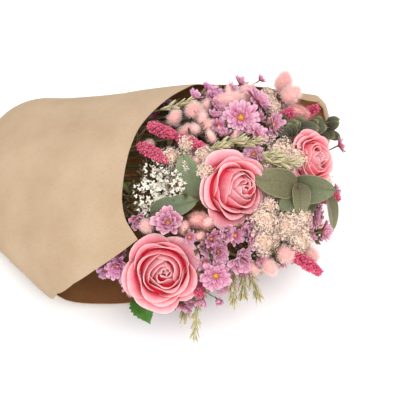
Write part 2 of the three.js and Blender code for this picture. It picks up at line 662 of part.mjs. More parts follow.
// The closest distance between two straight stretches.
function stretchGap([a, b], [c, d]) {
  const u = b.clone().sub(a);
  const v = d.clone().sub(c);
  const w = a.clone().sub(c);
  const [uu, uv, vv, uw, vw] = [u.dot(u), u.dot(v), v.dot(v), u.dot(w), v.dot(w)];
  const base = Math.max(1e-9, uu * vv - uv * uv);
  let s = THREE.MathUtils.clamp((uv * vw - vv * uw) / base, 0, 1);
  const t = THREE.MathUtils.clamp((uv * s + vw) / vv, 0, 1);
  s = THREE.MathUtils.clamp((uv * t - uw) / uu, 0, 1);
  return a.clone().addScaledVector(u, s).distanceTo(c.clone().addScaledVector(v, t));
}

// Each plant's stem: where it leaves the bundle for, and its branches.
function planPlant(entry, heads, radius) {
  const middle = heads.reduce((sum, head) => sum.add(vec(head.at)), new THREE.Vector3());
  middle.divideScalar(heads.length);
  const outward = middle.clone().sub(bindingPoint);
  const fork = middle.addScaledVector(outward.normalize(), -forkDistance);
  return { entry, heads, radius, fork, seats: [] };
}

const plants = roses.map((rose) => planPlant(rose, [rose], roseStemRadius));
plants.push(...sprays.map((spray) => planPlant(spray, spray.heads, thinStemRadius)));

// Every head's form, its place and the twig that carries it.
const blooms = [];
for (const plant of plants) {
  for (const head of plant.heads) {
    const at = vec(head.at);
    if (plant.entry.kind === 'leaves') {
      const rib = vec(head.facing).normalize();
      const foot = at.clone().addScaledVector(rib, -0.8 * head.size);
      plant.seats.push(foot);
      const leaf = layLeaf(roundLeaf(head), at, head.facing, head.up);
      const keep = layLeaf(roundKeepOut(1, 1).scale(2.6, head.wide, head.size), at, head.facing, head.up);
      blooms.push({ plant, solid: solidOf(leaf), keep: solidOf(keep), at });
    } else if (plant.entry.kind) {
      const facing = facingOf(head);
      const form = headMakers[plant.entry.kind](head);
      const seat = at.clone().addScaledVector(facing, form.seat);
      plant.seats.push(seat);
      const pieces = form.pieces.map((piece) => solidOf(aim(piece, at, facing)));
      const keep = roundKeepOut(form.wide, form.tall).translate(0, 0, form.centre);
      blooms.push({ plant, solid: wasm.Manifold.union(pieces), keep: solidOf(aim(keep, at, facing)), at });
    }
  }
}

// The stem runs through the fork to the first head, and the others' twigs leave it past the fork.
for (const plant of plants) {
  if (!plant.entry.kind) {
    plant.seats.push(vec(plant.entry.at).addScaledVector(facingOf(plant.entry), -0.62 * plant.entry.size));
  }
  const [first, ...others] = plant.seats;
  if (plant.entry.kind && others.length === 0) plant.fork = first;
  plant.twigs = others.map((seat, i) => [plant.fork.clone().lerp(first, 0.04 + 0.2 * i), seat]);
  if (plant.fork !== first) plant.twigs.unshift([plant.fork, first]);
}

// The bundle's places: a hexagonal lattice round the three thick rose stems.
const roseSlots = [[-6.2, 2.6], [0.8, 7.2], [6.4, 3.4]];
const thinPitch = 2 * thinStemRadius + clearance;
const latticeReach = 6;
const slots = [];
for (let row = -latticeReach; row <= latticeReach; row += 1) {
  for (let step = -latticeReach; step <= latticeReach; step += 1) {
    const y = (step + (row % 2 === 0 ? 0 : 0.5)) * thinPitch;
    const z = row * thinPitch * 0.866;
    const nearRose = roseSlots.some(([ry, rz]) => {
      return Math.hypot(y - ry, z - rz) < roseStemRadius + thinStemRadius + clearance;
    });
    if (!nearRose && Math.hypot(y, z) < bundleRadius - thinStemRadius) slots.push([y, z]);
  }
}

// Where in the bundle a stem would like to be, by the direction in which it leaves.
const bundleSpread = 21;
const meanRise = 0.34;
const slotPoint = ([y, z]) => new THREE.Vector3(bindingX, y, bundleHeight + z);
const wish = (plant) => {
  const run = plant.fork.x - bindingX;
  const rise = (plant.fork.z - bundleHeight) / run;
  return [(bundleSpread * plant.fork.y) / run, bundleSpread * (rise - meanRise)];
};
plants.forEach((plant, i) => {
  if (i < roses.length) {
    plant.slot = roseSlots[i];
    return;
  }
  const [y, z] = wish(plant);
  slots.sort((a, b) => Math.hypot(a[0] - y, a[1] - z) - Math.hypot(b[0] - y, b[1] - z));
  plant.slot = slots.shift();
});

// How far a stem, at its place in the bundle, comes too close to the others.
function crowding(plant) {
  const own = [slotPoint(plant.slot), plant.fork];
  let cost = 0;
  for (const other of plants) {
    if (other !== plant) {
      const least = plant.radius + other.radius + clearance;
      const room = stretchGap(own, [slotPoint(other.slot), other.fork]);
      cost += Math.max(0, least - room) * 10;
      for (const twig of other.twigs) {
        const beside = stretchGap(own, twig);
        cost += Math.max(0, plant.radius + branchRadius + clearance - beside) * 10;
      }
    }
  }
  const [y, z] = wish(plant);
  return cost + 0.002 * Math.hypot(plant.slot[0] - y, plant.slot[1] - z);
}

// Stems trade places in the bundle until none runs through another.
const thinPlants = plants.slice(roses.length);
for (let round = 0; round < 4; round += 1) {
  for (const plant of thinPlants) {
    for (const other of thinPlants) {
      const before = crowding(plant) + crowding(other);
      [plant.slot, other.slot] = [other.slot, plant.slot];
      if (crowding(plant) + crowding(other) >= before) {
        [plant.slot, other.slot] = [other.slot, plant.slot];
      }
    }
    slots.forEach((free, i) => {
      const before = crowding(plant);
      const old = plant.slot;
      plant.slot = free;
      if (crowding(plant) < before) slots[i] = old;
      else plant.slot = old;
    });
  }
}

// The stems as solids, with a slightly thicker copy that keeps the others' blooms off.
for (const [i, plant] of plants.entries()) {
  const start = slotPoint(plant.slot);
  const cutEnd = start.clone().setX(stemEndX + ((i * 7) % 11));
  const route = [cutEnd, start, plant.fork];
  if (plant.fork !== plant.seats[0]) route.push(plant.seats[0]);
  const sideTwigs = plant.twigs.slice(1);
  const parts = [stalk(route, plant.radius), ...sideTwigs.map((twig) => stalk(twig, branchRadius))];
  const fat = [stalk(route, plant.radius + stemMargin)];
  fat.push(...sideTwigs.map((twig) => stalk(twig, branchRadius + stemMargin)));
  plant.stem = wasm.Manifold.union(parts.map(solidOf));
  plant.fatStem = wasm.Manifold.union(fat.map(solidOf));
}

// The wrap comes first, because the blooms give way to it.
const paper = solidOf(paperSheet(paperThickness));
const paperKeepOut = solidOf(paperSheet(paperThickness + 2 * clearance + 0.3));

const bouquet = new THREE.Group();
function addNode(name, geometry, colour) {
  const material = new THREE.MeshStandardMaterial({ color: colour, roughness: 0.9, metalness: 0 });
  const mesh = new THREE.Mesh(geometry, material);
  mesh.name = name;
  bouquet.add(mesh);
}

// The connected body that holds most of the piece.
function mainBody(solid) {
  const bodies = solid.decompose();
  return bodies.sort((a, b) => b.volume() - a.volume())[0];
}

// Cuts a solid clear of another only where the two would run into each other.
function giveWay(solid, other, room) {
  if (solid.intersect(other).isEmpty()) return solid;
  const cut = solid.subtract(room);
  return cut.intersect(other).isEmpty() ? cut : cut.subtract(other);
}

// The rose blooms, with the calyx, the sepals and one leaf on each rose stem.
const taken = [];
for (const plant of plants.slice(0, roses.length)) {
  const { name, at, size, leaf } = plant.entry;
  const facing = facingOf(plant.entry);
  const place = vec(at);
  const calyx = unitBall(6, 4).scale(calyxRadius, calyxRadius, calyxRadius - 1);
  const seat = place.clone().addScaledVector(facing, -0.66 * size);
  const stemParts = [plant.stem, solidOf(aim(calyx, seat, facing))];
  const sepals = petalStar(5, 14, -0.45).translate(0, 0, -1);
  stemParts.push(solidOf(aim(sepals, seat, facing)));
  const leafAt = vec(leaf);
  const joint = seat.clone().addScaledVector(facing, -6);
  const ribDirection = leafAt.clone().sub(joint).normalize();
  stemParts.push(solidOf(stalk([joint, leafAt], 0.9, 4)));
  const bladeAt = leafAt.clone().addScaledVector(ribDirection, -3);
  const bladeDirection = [ribDirection.x + 0.3, ribDirection.y - 0.4, 0];
  const blade = layLeaf(toothedLeaf(roseLeafLong, roseLeafWide), bladeAt, bladeDirection, [0.1, -0.5, 0.8]);
  stemParts.push(solidOf(blade));
  plant.stemWithLeaf = wasm.Manifold.union(stemParts);
  const wider = calyxRadius + 2 * clearance;
  plant.ownRoom = solidOf(aim(unitBall(6, 4).scale(wider, wider, wider - 1), seat, facing));
  const pieces = roseBloom(size).map((piece) => solidOf(aim(piece, place, facing)));
  const keep = roundKeepOut(0.98 * size + 1, 0.6 * size, 10, 6).translate(0, 0, 0.1 * size);
  const solid = wasm.Manifold.union(pieces);
  const keepOut = solidOf(aim(keep, place, facing));
  taken.push({ plant, solid, keep: keepOut, at: place, isRose: true, name: `${name}_bloom` });
}

// The other heads follow from the outermost inwards, each cut clear of what is there.
const rank = (bloom) => domeCentre.distanceTo(bloom.at) + (bloom.plant.entry.kind === 'mist' ? 1000 : 0);
blooms.sort((a, b) => rank(b) - rank(a));
for (const bloom of [...taken, ...blooms]) {
  let solid = giveWay(bloom.solid, paper, paperKeepOut);
  for (const plant of plants) {
    if (plant !== bloom.plant || bloom.isRose) solid = giveWay(solid, plant.stem, plant.fatStem);
  }
  if (bloom.isRose) solid = solid.subtract(bloom.plant.ownRoom);
  for (const other of taken) {
    const earlier = !bloom.isRose || taken.indexOf(other) < taken.indexOf(bloom);
    if (earlier && other.plant !== bloom.plant) solid = giveWay(solid, other.solid, other.keep);
  }
  bloom.solid = solid;
  if (!bloom.isRose) taken.push(bloom);
}

for (const bloom of taken.filter((item) => item.isRose)) {
  addNode(bloom.name, geometryOf(mainBody(bloom.solid)), colours.rose);
}
for (const [i, plant] of plants.entries()) {
  if (i < roses.length) {
    let stem = giveWay(plant.stemWithLeaf, paper, paperKeepOut);
    for (const other of plants) {
      if (other !== plant) stem = giveWay(stem, other.stem, other.fatStem);
    }
    for (const bloom of taken) {
      if (bloom.plant !== plant) stem = giveWay(stem, bloom.solid, bloom.keep);
    }
    addNode(`${plant.entry.name}_stem`, geometryOf(mainBody(stem.add(plant.stem))), colours.stem);
  } else {
    const own = taken.filter((bloom) => bloom.plant === plant).map((bloom) => bloom.solid);
    const whole = mainBody(wasm.Manifold.union([plant.stem, ...own]));
    addNode(plant.entry.name, geometryOf(whole), colours[plant.entry.kind]);
  }
}

addNode('paper_wrap', geometryOf(paper), colours.paper);

// A soft band round the stems, and three turns of twine round the paper's waist.
const bandInner = bundleRadius + clearance + 0.2;
const bandOuter = bandInner + 1.6;
const bandWide = 7;
const bandProfile = [
  [bandInner, -bandWide / 2], [bandOuter, -bandWide / 2], [bandOuter, bandWide / 2],
  [bandInner, bandWide / 2], [bandInner, -bandWide / 2],
].map(([r, level]) => new THREE.Vector2(r, level));
const band = new THREE.LatheGeometry(bandProfile, 14).rotateZ(Math.PI / 2);
addNode('stem_band', geometryOf(solidOf(band.translate(bindingX - 6, 0, bundleHeight))), colours.band);

const twineRadius = 1.2;
const twineInner = waistRadius + paperThickness / 2 + clearance + 0.3;
const twineProfile = [new THREE.Vector2(twineInner, -3 * twineRadius)];
for (let i = -2; i <= 2; i += 1) {
  const crest = i % 2 === 0 ? 2 * twineRadius : 1.2 * twineRadius;
  twineProfile.push(new THREE.Vector2(twineInner + crest, i * twineRadius));
}
twineProfile.push(new THREE.Vector2(twineInner, 3 * twineRadius), twineProfile[0].clone());
const turns = new THREE.LatheGeometry(twineProfile, 16).rotateZ(Math.PI / 2);
const twineTop = bundleHeight + twineInner + 2 * twineRadius;
const knot = unitGem(0).scale(3.6, 4.2, 3).translate(waistX, 0, twineTop);
const knotPoint = new THREE.Vector3(waistX, 0, twineTop + 0.5);
const ends = [[-9, -13], [7, 15]].map(([dx, dy]) => stalk([
  knotPoint,
  new THREE.Vector3(waistX + dx, dy * 0.6, twineTop + 2),
  new THREE.Vector3(waistX + 1.6 * dx, dy * 1.25, twineTop - 2.5),
], twineRadius, 4));
const twine = wasm.Manifold.union([solidOf(turns.translate(waistX, 0, bundleHeight)), solidOf(knot),
  ...ends.map(solidOf)]);
addNode('twine_tie', geometryOf(mainBody(twine)), colours.twine);

export default bouquet;
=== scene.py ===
# A mixed bouquet of dried flowers and spray roses that lies on its side in a kraft paper wrap.
# Every plant grows in millimetres and is brought to metres when its piece is finished.
import math
import random

import bmesh
import bpy
from mathutils import Matrix, Vector, noise


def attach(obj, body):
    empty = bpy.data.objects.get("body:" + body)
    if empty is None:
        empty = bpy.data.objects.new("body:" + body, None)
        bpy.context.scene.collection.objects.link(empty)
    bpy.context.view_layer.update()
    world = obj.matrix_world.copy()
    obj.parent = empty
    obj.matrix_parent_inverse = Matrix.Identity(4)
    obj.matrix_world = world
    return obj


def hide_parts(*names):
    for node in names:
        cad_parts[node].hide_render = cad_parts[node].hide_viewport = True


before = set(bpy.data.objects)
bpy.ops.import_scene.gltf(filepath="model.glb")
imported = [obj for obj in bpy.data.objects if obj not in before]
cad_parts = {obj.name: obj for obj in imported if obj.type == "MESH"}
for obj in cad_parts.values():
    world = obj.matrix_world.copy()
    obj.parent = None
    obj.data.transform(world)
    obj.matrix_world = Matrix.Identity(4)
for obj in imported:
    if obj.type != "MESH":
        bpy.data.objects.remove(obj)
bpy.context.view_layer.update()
print("frame loaded:", len(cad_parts), "nodes")

up = Vector((0, 0, 1))
goldenAngle = math.radians(137.5)


def clamp(value):
    return min(1, max(0, value))


def signedPower(value, power):
    return math.copysign(abs(value) ** power, value)


def spoke(radius, turn, z):
    # A place this far from the Z axis, turned round it.
    return Vector((radius * math.cos(turn), radius * math.sin(turn), z))


def anyTurn(chance):
    return chance.uniform(0, 6.3)


def linearColour(code):
    parts = [int(code[i:i + 2], 16) / 255 for i in (1, 3, 5)]
    return [p / 12.92 if p < 0.04045 else ((p + 0.055) / 1.055) ** 2.4 for p in parts] + [1]


def addNode(tree, kind, values=(), links=(), stops=(), **settings):
    node = tree.nodes.new(kind)
    for name, value in settings.items():
        setattr(node, name, value)
    for name, value in dict(values).items():
        node.inputs[name].default_value = value
    for name, socket in dict(links).items():
        tree.links.new(socket, node.inputs[name])
    if stops:
        ramp = node.color_ramp.elements
        ramp.remove(ramp[1])
        ramp[0].position, ramp[0].color = stops[0][0], linearColour(stops[0][1])
        for place, code in stops[1:]:
            ramp.new(place).color = linearColour(code)
    return node


def newFinish(name, look):
    material = bpy.data.materials.new(name)
    material.use_nodes = True
    shader = material.node_tree.nodes["Principled BSDF"]
    sockets = {
        "Roughness": look.get("roughness", 0.7), "Specular IOR Level": look.get("gloss", 0.25),
        "Sheen Weight": look.get("sheen", 0), "Sheen Roughness": 0.5,
        "Subsurface Weight": look.get("glow", 0), "Subsurface Scale": look.get("glowDepth", 0.0012),
        "Subsurface Radius": (1.0, 0.45, 0.4),
    }
    for socket, value in sockets.items():
        shader.inputs[socket].default_value = value
    return material, material.node_tree, shader


def colourAndRelief(tree, shader, colour, height, strength, distance=0.0004):
    bump = addNode(tree, "ShaderNodeBump", values={"Strength": strength, "Distance": distance},
                   links={"Height": height})
    tree.links.new(colour, shader.inputs["Base Color"])
    tree.links.new(bump.outputs[0], shader.inputs["Normal"])


# Petals, leaves, hairs and husks carry three values on their points: shade runs from the foot (0)
# to the tip (1), across from one edge (-1) to the other (1), and tone is one chance value for each.
# A rim is its colour, where it starts and its share. Veins are lanes, waves along them and their depth.
def plantFinish(name, look):
    material, tree, shader = newFinish(name, look)
    rimColour, rimFrom, rimShare = look.get("rim", ("#FFFFFF", 0.9, 0))
    lanes, runs, veinDepth = look["veins"]
    shade, across, tone = [
        addNode(tree, "ShaderNodeAttribute", attribute_name=key).outputs["Fac"]
        for key in ("shade", "across", "tone")
    ]
    base, other = [
        addNode(tree, "ShaderNodeValToRGB", links={0: shade}, stops=look[key]).outputs[0]
        for key in ("stops", "others")
    ]
    colour = addNode(tree, "ShaderNodeMix", data_type="RGBA", links={0: tone, 6: base, 7: other})
    edge = addNode(tree, "ShaderNodeMath", operation="ABSOLUTE", links={0: across})
    rim = addNode(tree, "ShaderNodeMapRange", interpolation_type="SMOOTHSTEP", links={0: edge.outputs[0]},
                  values={1: rimFrom, 2: 1.0, 3: 0.0, 4: rimShare})
    rimmed = addNode(tree, "ShaderNodeMix", data_type="RGBA", values={7: linearColour(rimColour)},
                     links={0: rim.outputs[0], 6: colour.outputs[2]})
    lane, run, own = [
        addNode(tree, "ShaderNodeMath", operation="MULTIPLY", values={1: share}, links={0: value}).outputs[0]
        for value, share in ((across, lanes), (shade, runs), (tone, 37.0))
    ]
    grain = addNode(tree, "ShaderNodeCombineXYZ", links={0: lane, 1: run, 2: own}).outputs[0]
    veins = addNode(tree, "ShaderNodeTexNoise", values={"Scale": 1.0, "Detail": 3.0}, links={"Vector": grain})
    depth = addNode(tree, "ShaderNodeMapRange", links={0: veins.outputs["Fac"]},
                    values={1: 0.3, 2: 0.7, 3: 1.0 - veinDepth, 4: 1.0 + 0.3 * veinDepth})
    finished = addNode(tree, "ShaderNodeMix", data_type="RGBA", blend_type="MULTIPLY", values={0: 1.0},
                       links={6: rimmed.outputs[2], 7: depth.outputs[0]})
    colourAndRelief(tree, shader, finished.outputs[2], veins.outputs["Fac"], look.get("bump", 0.4))
    return material


# Stems, cores and bark: plain plant skin in two colours, mottled every few millimetres.
def skinFinish(name, look):
    material, tree, shader = newFinish(name, look)
    place = addNode(tree, "ShaderNodeTexCoord").outputs["Object"]
    spots = addNode(tree, "ShaderNodeTexNoise", values={"Scale": 1000 / look["spot"], "Detail": 4.0},
                    links={"Vector": place}).outputs["Fac"]
    colour = addNode(tree, "ShaderNodeValToRGB", links={0: spots}, stops=look["stops"])
    colourAndRelief(tree, shader, colour.outputs[0], spots, 0.5)
    return material


# Fresh rose petal: velvety and salmon pink. The deep coral at its foot is painted shade in the crevices,
# and the almost white lip is a painted highlight.
rosePetalFinish = plantFinish("rosePetal", {
    "stops": [(0, "#CA0A26"), (0.42, "#E82E4A"), (0.68, "#F36177"), (0.88, "#F78592"), (1, "#FAA7AC")],
    "others": [(0, "#DC2542"), (0.32, "#F0546E"), (0.6, "#F68295"), (0.86, "#FBA2AB"), (1, "#FDBDBE")],
    "rim": ("#FBBCBC", 0.82, 0.2), "veins": (9, 1.6, 0.14),
    "roughness": 0.6, "gloss": 0.2, "sheen": 0.1, "glow": 0.6, "glowDepth": 0.004, "bump": 0.2,
})
# Dried paper daisy: shiny straw-like bracts, magenta round the eye and pale lilac pink at the tips.
daisyPetalFinish = plantFinish("paperDaisyPetal", {
    "stops": [(0, "#820C3C"), (0.26, "#A81D5A"), (0.44, "#C25583"), (0.7, "#D07A9C"), (1, "#E2AABE")],
    "others": [(0, "#921748"), (0.26, "#B8386E"), (0.44, "#CC7096"), (0.7, "#DA96B0"), (1, "#EAC2D0")],
    "rim": ("#E8B8C8", 0.6, 0.4), "veins": (6, 1.2, 0.3),
    "roughness": 0.5, "gloss": 0.35, "sheen": 0.1, "glow": 0.3, "glowDepth": 0.0015,
})
# The same daisy dried darker: pink and plum cups that have not opened.
darkDaisyFinish = plantFinish("darkDaisyPetal", {
    "stops": [(0, "#7E1244"), (0.4, "#BE3C80"), (0.75, "#DA84B4"), (1, "#EDBBD6")],
    "others": [(0, "#8E1A4E"), (0.4, "#CE5C96"), (0.75, "#E4A0C6"), (1, "#F2CDE0")],
    "rim": ("#EFC8DC", 0.5, 0.35), "veins": (6, 1.2, 0.3),
    "roughness": 0.5, "gloss": 0.35, "glow": 0.3, "glowDepth": 0.0015,
})
# The daisy's eye: packed disc florets, ochre with orange tips.
daisyEyeFinish = plantFinish("daisyEye", {
    "stops": [(0, "#8A4E1C"), (0.5, "#CF8E2C"), (1, "#E7B648")],
    "others": [(0, "#7A3D18"), (0.5, "#C27A28"), (1, "#DFA43C")],
    "veins": (3, 3, 0.2),
})
# Dyed bunny tail grass: powder pink hairs, coral where they leave the core.
tailHairFinish = plantFinish("bunnyTailHair", {
    "stops": [(0, "#F4B0A9"), (0.4, "#FAC8C1"), (1, "#FEE2DC")],
    "others": [(0, "#F6BAB4"), (0.4, "#FCD2CC"), (1, "#FFEEE9")],
    "veins": (1, 2, 0.1), "roughness": 0.85, "gloss": 0.1, "sheen": 0.6, "glow": 0.4, "glowDepth": 0.002,
})
# A few of the tails are dyed a deeper coral.
coralHairFinish = plantFinish("coralTailHair", {
    "stops": [(0, "#D4706E"), (0.4, "#E69792"), (1, "#F4BBB5")],
    "others": [(0, "#DC807D"), (0.4, "#ECA6A0"), (1, "#F7C8C2")],
    "veins": (1, 2, 0.12), "roughness": 0.85, "gloss": 0.1, "sheen": 0.5, "glow": 0.3, "glowDepth": 0.002,
})
tailCoreFinish = skinFinish("bunnyTailCore", {
    "stops": [(0.3, "#F4B8B0"), (0.7, "#FACBC4")], "spot": 3.0, "roughness": 0.9, "sheen": 0.5,
})
# Dyed seed spikes: matt crimson husks, each paler at its tip.
spikeHuskFinish = plantFinish("crimsonHusk", {
    "stops": [(0, "#6E0C2C"), (0.45, "#AE1E48"), (1, "#D24A6E")],
    "others": [(0, "#82123A"), (0.45, "#C23058"), (1, "#DF7390")],
    "rim": ("#D86A88", 0.7, 0.3), "veins": (5, 1.5, 0.3),
    "roughness": 0.7, "gloss": 0.2, "sheen": 0.2, "glow": 0.15,
})
# Bleached star florets: dry, chalky cream with blush shadows.
creamFloretFinish = plantFinish("creamFloret", {
    "stops": [(0, "#CDA88C"), (0.35, "#E2C8AE"), (1, "#F4E6D5")],
    "others": [(0, "#D0A494"), (0.35, "#E6C4B8"), (1, "#F5E0D8")],
    "rim": ("#F2E4D6", 0.8, 0.2), "veins": (4, 2, 0.1),
    "roughness": 0.8, "gloss": 0.15, "glow": 0.35, "glowDepth": 0.0015,
})
# The stalks packed inside a cream head.
creamCoreFinish = skinFinish("creamCore", {
    "stops": [(0.3, "#B9937A"), (0.7, "#D2B49A")], "spot": 1.6, "roughness": 0.9,
})
# Dried gypsophila: tiny double white flowers, faintly yellow inside.
gypFloretFinish = plantFinish("gypFloret", {
    "stops": [(0, "#DACAA8"), (0.4, "#F4E9D8"), (1, "#FDF8EF")],
    "others": [(0, "#D0BC98"), (0.4, "#EEE0CC"), (1, "#FBF2E4")],
    "rim": ("#FDFBF6", 0.8, 0.2), "veins": (4, 2, 0.1),
    "roughness": 0.8, "gloss": 0.15, "glow": 0.35, "glowDepth": 0.0015,
})
# Preserved eucalyptus: waxy sage leaf with an olive cast and a dry brownish edge.
eucalyptusFinish = plantFinish("eucalyptusLeaf", {
    "stops": [(0, "#5A603F"), (0.5, "#6B7552"), (1, "#7B845E")],
    "others": [(0, "#4E5A44"), (0.5, "#5F6E56"), (1, "#727F66")],
    "rim": ("#A8A27C", 0.88, 0.5), "veins": (8, 16, 0.18),
    "roughness": 0.5, "gloss": 0.3, "sheen": 0.1, "bump": 0.5,
})
# The same plant further dried: olive leaves, some of them turned brown.
oliveEucalyptusFinish = plantFinish("oliveEucalyptusLeaf", {
    "stops": [(0, "#4E4E32"), (0.5, "#5E6244"), (1, "#6F7453")],
    "others": [(0, "#5A4C34"), (0.5, "#6B6344"), (1, "#7E7856")],
    "rim": ("#A39A72", 0.9, 0.5), "veins": (8, 16, 0.24),
    "roughness": 0.5, "gloss": 0.3, "sheen": 0.1, "bump": 0.5,
})
darkEucalyptusFinish = plantFinish("darkEucalyptusLeaf", {
    "stops": [(0, "#323220"), (0.5, "#44462E"), (0.8, "#5A5B3C"), (1, "#A09A70")],
    "others": [(0, "#2C2A1E"), (0.5, "#3B3B2A"), (0.8, "#52523A"), (1, "#948C68")],
    "rim": ("#8A835E", 0.84, 0.45), "veins": (3, 9, 0.25), "roughness": 0.5, "gloss": 0.3, "bump": 0.5,
})
# Rose leaf: fresh green, glossier than the dried plants.
roseLeafFinish = plantFinish("roseLeaf", {
    "stops": [(0, "#356A1E"), (0.5, "#417A25"), (1, "#4E8A2C")],
    "others": [(0, "#2F601E"), (0.5, "#387022"), (1, "#447E29")],
    "rim": ("#5CA548", 0.85, 0.3), "veins": (3, 12, 0.3), "roughness": 0.45, "gloss": 0.4, "bump": 0.8,
})
# Dried oats and grass: straw husks, still green along the back.
oatHuskFinish = plantFinish("oatHusk", {
    "stops": [(0, "#7F8454"), (0.45, "#A49E6E"), (1, "#CFC298")],
    "others": [(0, "#948A5C"), (0.45, "#B5A87A"), (1, "#D8CCA6")],
    "rim": ("#E4DCBC", 0.55, 0.5), "veins": (7, 1, 0.3), "roughness": 0.6, "gloss": 0.3,
})
# Small dry leaves on the side shoots, from olive to tea brown.
shootLeafFinish = plantFinish("dryShootLeaf", {
    "stops": [(0, "#4C4A2C"), (0.5, "#6A6C42"), (1, "#8A8A5C")],
    "others": [(0, "#3E2824"), (0.5, "#5E3C34"), (1, "#7E5A4A")],
    "rim": ("#8E865E", 0.8, 0.3), "veins": (4, 4, 0.25),
})
stemFinish = skinFinish("driedStem", {"stops": [(0.3, "#5A5634"), (0.7, "#7E7650")], "spot": 6.0})
twigFinish = skinFinish("brownTwig", {"stops": [(0.3, "#5E4230"), (0.7, "#8A6A4C")], "spot": 4.0})
roseStemFinish = skinFinish("roseStem", {
    "stops": [(0.3, "#4C6A30"), (0.7, "#6C8A44")], "spot": 5.0, "roughness": 0.5, "gloss": 0.35,
})
print("plant finishes made")


def smoothFaces(bm, material=0):
    for face in bm.faces:
        face.material_index = material
        face.smooth = True


def asForm(bm, material=0):
    # A small form that is made once and set down many times.
    smoothFaces(bm, material)
    mesh = bpy.data.meshes.new("form")
    bm.to_mesh(mesh)
    bm.free()
    return {"mesh": mesh, "rest": [c for vert in mesh.vertices for c in vert.co]}


def startForm():
    bm = bmesh.new()
    return bm, [bm.verts.layers.float.new(key) for key in ("shade", "across", "tone")]


def faceOutwards(bm):
    if bm.calc_volume(signed=True) < 0:
        bmesh.ops.reverse_faces(bm, faces=bm.faces[:])


def bladeForm(columns, rows, thickness, place, material=0):
    # A thin petal, leaf or husk: a grid moved to its form, then given a thickness.
    bm, (shade, across, _) = startForm()
    bmesh.ops.create_grid(bm, x_segments=columns, y_segments=rows, size=0.5)
    for vert in bm.verts:
        vert[across], vert[shade] = 2 * vert.co.x, vert.co.y + 0.5
        vert.co = place(vert[across], vert[shade])
    bm.normal_update()
    bmesh.ops.solidify(bm, geom=bm.faces[:], thickness=thickness)
    faceOutwards(bm)
    return asForm(bm, material)


def coneForm(sides, foot, tip, material=0):
    # A closed spike from the origin to (0, 0, 1).
    bm, (shade, *_) = startForm()
    bmesh.ops.create_cone(bm, cap_ends=True, segments=sides, radius1=foot, radius2=tip, depth=1)
    bmesh.ops.translate(bm, vec=(0, 0, 0.5), verts=bm.verts[:])
    for vert in bm.verts:
        vert[shade] = vert.co.z
    return asForm(bm, material)


def ballForm(detail, place, material=0, shades=(0, 1)):
    # A closed ball whose points are moved by the form, shaded from its foot to its tip.
    bm, (shade, *_) = startForm()
    bmesh.ops.create_icosphere(bm, subdivisions=detail, radius=1)
    for vert in bm.verts:
        vert[shade] = shades[0] + (shades[1] - shades[0]) * (0.5 + 0.5 * vert.co.z)
        vert.co = place(vert.co)
    return asForm(bm, material)


def tuftForm(hairs, width, spread):
    # A few fine hairs that leave one foot and part from each other.
    bm, (shade, *_) = startForm()
    for i in range(hairs):
        made = bmesh.ops.create_cone(bm, cap_ends=True, segments=3, radius1=width, radius2=0, depth=1)
        hair = made["verts"]
        for vert in hair:
            vert[shade] = vert.co.z + 0.5
        lean = Matrix.Rotation(spread * math.sqrt(i / hairs), 4, "X")
        lean = Matrix.Rotation(i * goldenAngle, 4, "Z") @ lean
        bmesh.ops.transform(bm, matrix=lean @ Matrix.Translation((0, 0, 0.5)), verts=hair)
    return asForm(bm)


def starForm(petals, valley, cup, thickness, material=0):
    # A tiny flower: a flat double cone with every other rim point drawn in, then cupped.
    bm, (shade, *_) = startForm()
    bmesh.ops.create_cone(bm, cap_ends=True, cap_tris=True, segments=2 * petals,
                          radius1=1, radius2=0, depth=2)
    for vert in bm.verts:
        reach, below = vert.co.xy.length, vert.co.z > 0
        between = round(math.atan2(vert.co.y, vert.co.x) / (math.pi / petals)) % 2
        reach *= valley if between else 1
        vert[shade] = reach
        vert.co = (vert.co.x * reach, vert.co.y * reach, cup * reach ** 2 - (thickness if below else 0))
    faceOutwards(bm)
    return asForm(bm, material)


def stamp(bm, form, place, tone=0.5):
    mesh = form["mesh"]
    mesh.transform(place)
    mesh.attributes["tone"].data.foreach_set("value", [tone] * len(mesh.vertices))
    bm.from_mesh(mesh)
    mesh.vertices.foreach_set("co", form["rest"])


def stampOnce(bm, form, place, tone=0.5):
    stamp(bm, form, place, tone)
    bpy.data.meshes.remove(form["mesh"])


def spiralBall(count, span=2.0):
    # Even places on a ball of radius 1, from its top down, each a golden angle on.
    for i in range(count):
        z = 1 - span * (i + 0.5) / count
        ring = math.sqrt(1 - z * z)
        yield ring * math.cos(i * goldenAngle), ring * math.sin(i * goldenAngle), z


def growTubes(bm, routes, material, sides=1):
    # Round stalks along routes of (points, radii), as one curve turned to a mesh.
    curve = bpy.data.curves.new("stalks", "CURVE")
    curve.dimensions = "3D"
    curve.bevel_depth = 1
    curve.bevel_resolution = sides
    curve.use_fill_caps = True
    for points, radii in routes:
        spline = curve.splines.new("POLY")
        spline.points.add(len(points) - 1)
        for node, point, radius in zip(spline.points, points, radii):
            node.co = (*point, 1)
            node.radius = radius
    holder = bpy.data.objects.new("stalks", curve)
    mesh = bpy.data.meshes.new_from_object(holder)
    stalks = bmesh.new()
    stalks.from_mesh(mesh)
    bmesh.ops.remove_doubles(stalks, verts=stalks.verts[:], dist=0.001)
    smoothFaces(stalks, material)
    stalks.to_mesh(mesh)
    stalks.free()
    bm.from_mesh(mesh)
    bpy.data.objects.remove(holder)
    bpy.data.curves.remove(curve)
    bpy.data.meshes.remove(mesh)


def frameAt(place, facing, turn=0.0):
    aim = up.rotation_difference(facing).to_matrix().to_4x4()
    return Matrix.Translation(place) @ aim @ Matrix.Rotation(turn, 4, "Z")


def leafFrame(place, direction, face):
    # The rib (+Z) along the direction, and the face (+X) as near to the given side as that allows.
    rib = Vector(direction).normalized()
    front = Vector(face)
    front = (front - rib * front.dot(rib)).normalized()
    turned = Matrix((front, rib.cross(front), rib)).transposed().to_4x4()
    return Matrix.Translation(place) @ turned


def nodeName(node):
    first, *others = node.split("_")
    return first + "".join(word.title() for word in others)


